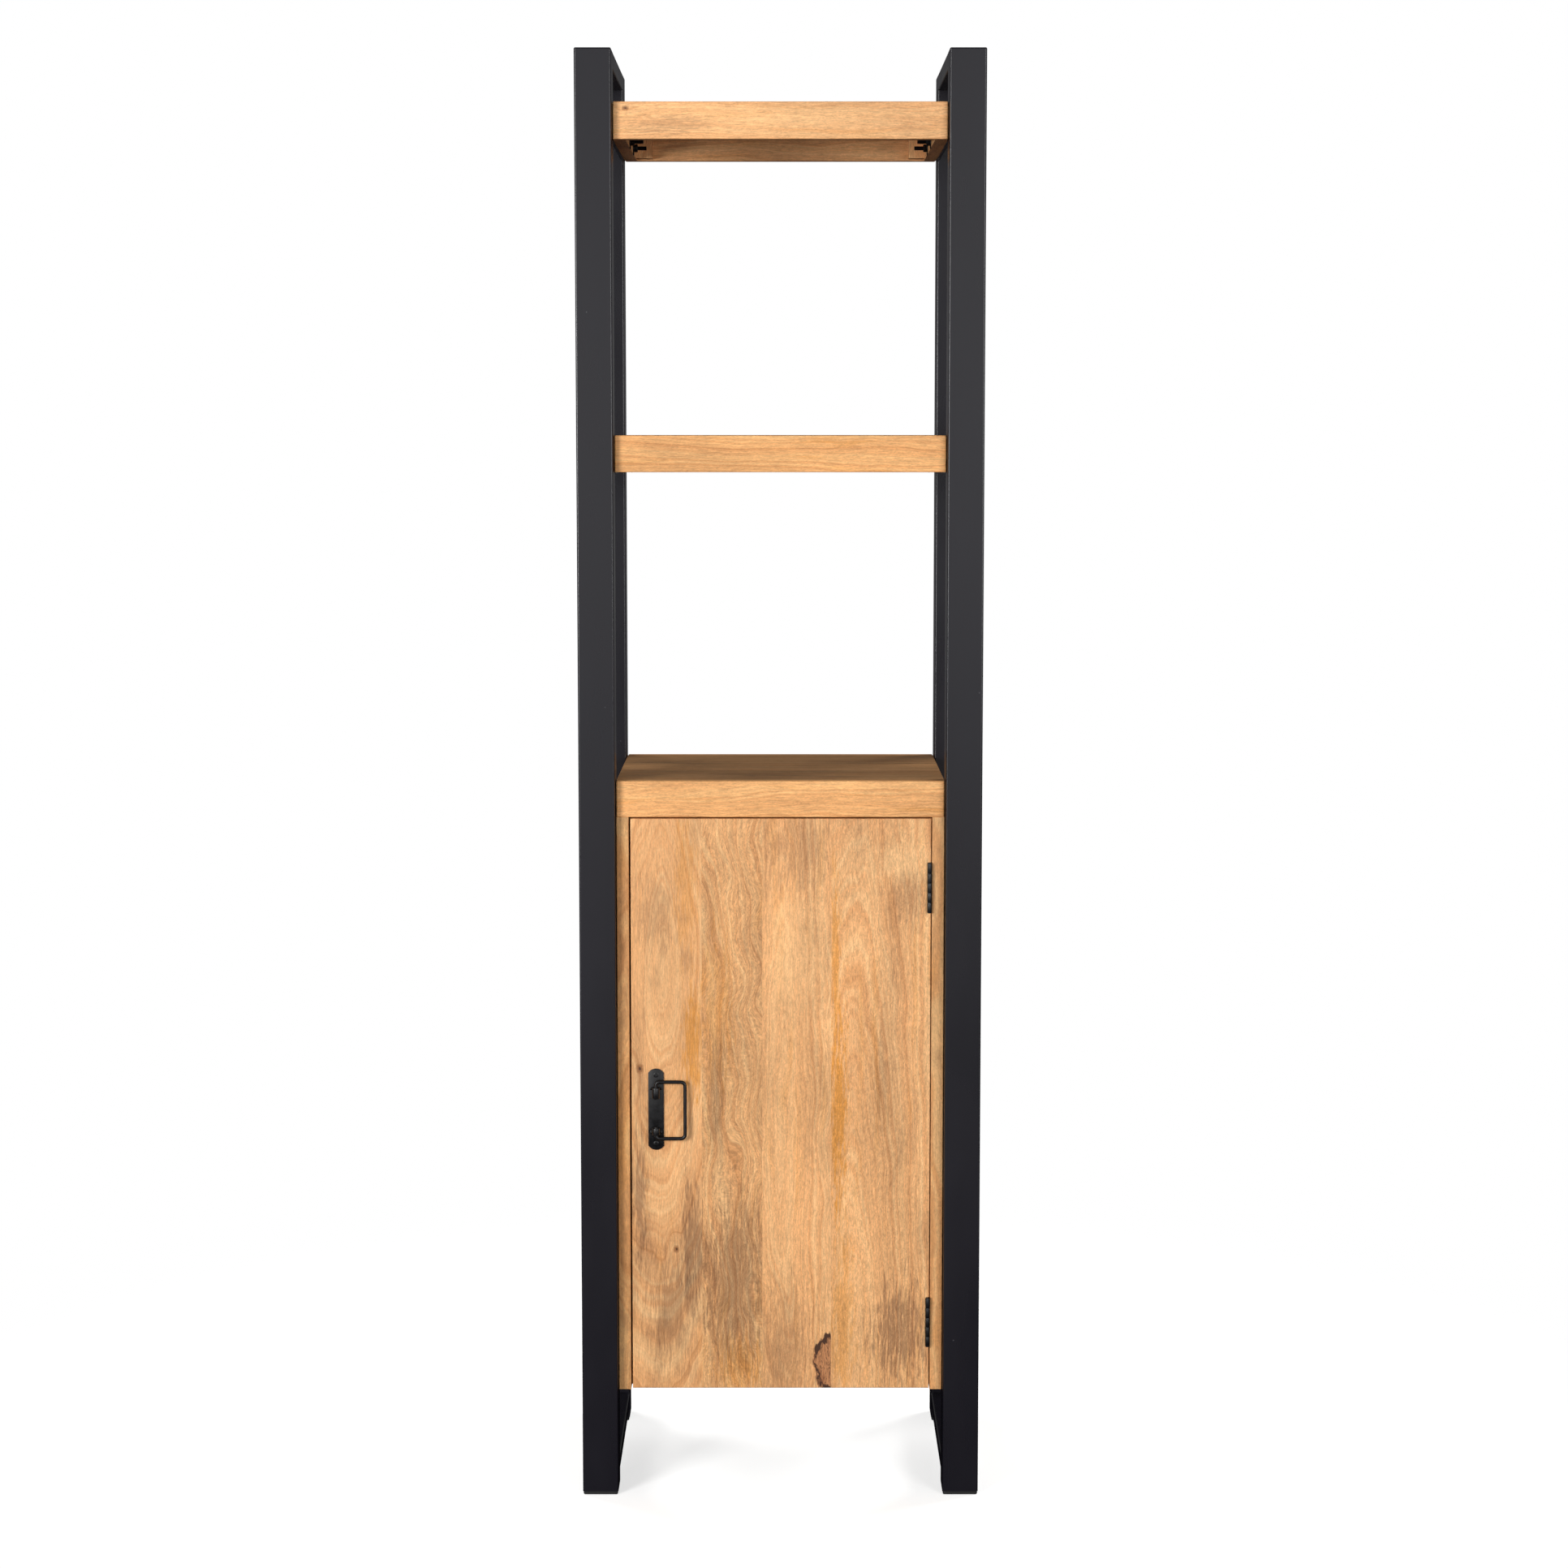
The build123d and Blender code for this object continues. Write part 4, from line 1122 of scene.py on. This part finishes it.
class BOOKCASE_OT_stage(bpy.types.Operator):
    """Set up the pale floor, the soft lights and the camera"""

    bl_idname = "bookcase.stage"
    bl_label = "Stage"

    def execute(self, context):
        studio = context.scene.bookcase_studio
        self.floor(studio)
        self.surroundings(context.scene)
        # Each softbox's place, the height of the point that it faces, and its width
        self.softbox("key", (-3.0, -4.1, 1.7), 1.5, 1.5, studio.key, True)
        self.softbox("fill", (2.5, -4.2, 1.8), 1.4, 1.6, studio.fill, True)
        self.softbox("rear", (3.7, 2.6, 2.5), 1.0, 2.2, studio.rear, False)
        self.softbox("rear_left", (-3.2, 3.2, 2.3), 1.0, 2.2, studio.rear_left, False)

        deselect()
        bpy.ops.object.camera_add(
            location=(0, -studio.camera_distance, studio.camera_height),
            rotation=(math.pi / 2 - studio.camera_tilt, 0, 0),
        )
        camera = context.object
        camera.name = "camera"
        camera.data.lens = studio.focal_length
        camera.data.sensor_width = SENSOR_WIDTH
        camera.data.shift_x, camera.data.shift_y = studio.lens_shift
        context.scene.camera = camera
        context.scene.view_settings.view_transform = "Standard"
        return {"FINISHED"}

    def floor(self, studio):
        """A round floor of matt white paint that fades into the white around it."""
        deselect()
        bpy.ops.mesh.primitive_circle_add(vertices=96, radius=9.0, fill_type="NGON")
        floor = bpy.context.object
        floor.name = "studio_floor"
        material, tree, shader = start_material(
            "matt_white_paint",
            {
                "Roughness": 0.85, "Specular IOR Level": 0.1,
                "Emission Color": (1.0, 1.0, 1.0), "Emission Strength": 0.6,
            },
        )
        place = add(tree, "TexCoord").outputs["Object"]
        grain = add(tree, "TexNoise", {"Vector": place, "Scale": 40.0, "Detail": 3.0})
        value = add(tree, "MapRange", [grain, 0.0, 1.0, 0.985, 1.015])
        colour = add(tree, "HueSaturation", {"Value": value, "Color": studio.floor})
        feed(tree, shader, {"Base Color": colour})
        away = add(tree, "VectorMath", [place], operation="LENGTH")
        fade = add(tree, "MapRange", [away, 0.35, 1.5], interpolation_type="SMOOTHERSTEP")
        clear = add(tree, "BsdfTransparent")
        mixed = add(tree, "MixShader", [fade, shader, clear])
        output = next(node for node in tree.nodes if node.type == "OUTPUT_MATERIAL")
        feed(tree, output, {"Surface": mixed})
        floor.data.materials.append(material)
        floor.visible_glossy = False
        floor.visible_diffuse = False

    def surroundings(self, scene):
        """White all round. Its light is strongest from the front, and weak from above and behind."""
        world = bpy.data.worlds.new("white_studio")
        scene.world = world
        world.use_nodes = True
        tree = world.node_tree
        tree.nodes.clear()
        direction = add(tree, "TexCoord").outputs["Generated"]
        parts = add(tree, "SeparateXYZ", [direction])
        front = add(tree, "MapRange", [parts.outputs["Y"], -1.0, 0.6, 1.4, 0.15])
        above = add(tree, "MapRange", [parts.outputs["Z"], 0.04, 0.3, 1.0, 0.18])
        below = add(tree, "MapRange", [parts.outputs["Z"], -0.24, -0.04])
        light = add(tree, "Math", [front, above], operation="MULTIPLY")
        light = add(tree, "Math", [light, below], operation="MULTIPLY")
        seen = add(tree, "LightPath").outputs["Is Camera Ray"]
        strength = add(tree, "Mix", [seen, light, 1.0], data_type="FLOAT")
        background = add(tree, "Background", {"Color": (1.0, 1.0, 1.0), "Strength": strength})
        add(tree, "OutputWorld", {"Surface": background})

    def softbox(self, name, place, target_height, size, power, seen_in_gloss):
        """A square soft light that faces a point above the middle of the floor."""
        turn = (Vector((0, 0, target_height)) - Vector(place)).to_track_quat("-Z", "Y").to_euler()
        deselect()
        bpy.ops.object.light_add(type="AREA", location=place, rotation=turn)
        light = bpy.context.object
        light.name = f"{name}_softbox"
        light.data.size = size
        light.data.energy = power
        light.visible_camera = False
        light.visible_glossy = seen_in_gloss


class BOOKCASE_PT_sidebar(bpy.types.Panel):
    """The bookcase's sizes, colours and pieces"""

    bl_label = "Bookcase"
    bl_space_type = "VIEW_3D"
    bl_region_type = "UI"
    bl_category = "Bookcase"

    def draw(self, context):
        for group in SETTINGS:
            box = self.layout.box()
            settings = getattr(context.scene, group)
            for name in settings.__annotations__:
                box.prop(settings, name)
        for operator in OPERATORS:
            self.layout.operator(operator.bl_idname)


SETTINGS = {
    "mango_wood": MangoWoodSettings,
    "bookcase_metal": MetalSettings,
    "bookcase_handle": HandleSettings,
    "bookcase_studio": StudioSettings,
}
OPERATORS = (
    BOOKCASE_OT_stage,
    BOOKCASE_OT_steel_frame,
    BOOKCASE_OT_woodwork,
    BOOKCASE_OT_fittings,
    BOOKCASE_OT_handle_plate,
    BOOKCASE_OT_handle_bail,
    BOOKCASE_OT_handle_screws,
    BOOKCASE_OT_hinges,
    BOOKCASE_OT_frame_fasteners,
)


def register():
    for name, group in SETTINGS.items():
        bpy.utils.register_class(group)
        setattr(bpy.types.Scene, name, PointerProperty(type=group))
    for operator in OPERATORS:
        bpy.utils.register_class(operator)
    bpy.utils.register_class(BOOKCASE_PT_sidebar)


def unregister():
    bpy.utils.unregister_class(BOOKCASE_PT_sidebar)
    for operator in OPERATORS:
        bpy.utils.unregister_class(operator)
    for name, group in SETTINGS.items():
        delattr(bpy.types.Scene, name)
        bpy.utils.unregister_class(group)


def main():
    register()
    deselect()
    for operator in OPERATORS:
        group, name = operator.bl_idname.split(".")
        getattr(getattr(bpy.ops, group), name)()


if __name__ == "__main__":
    main()
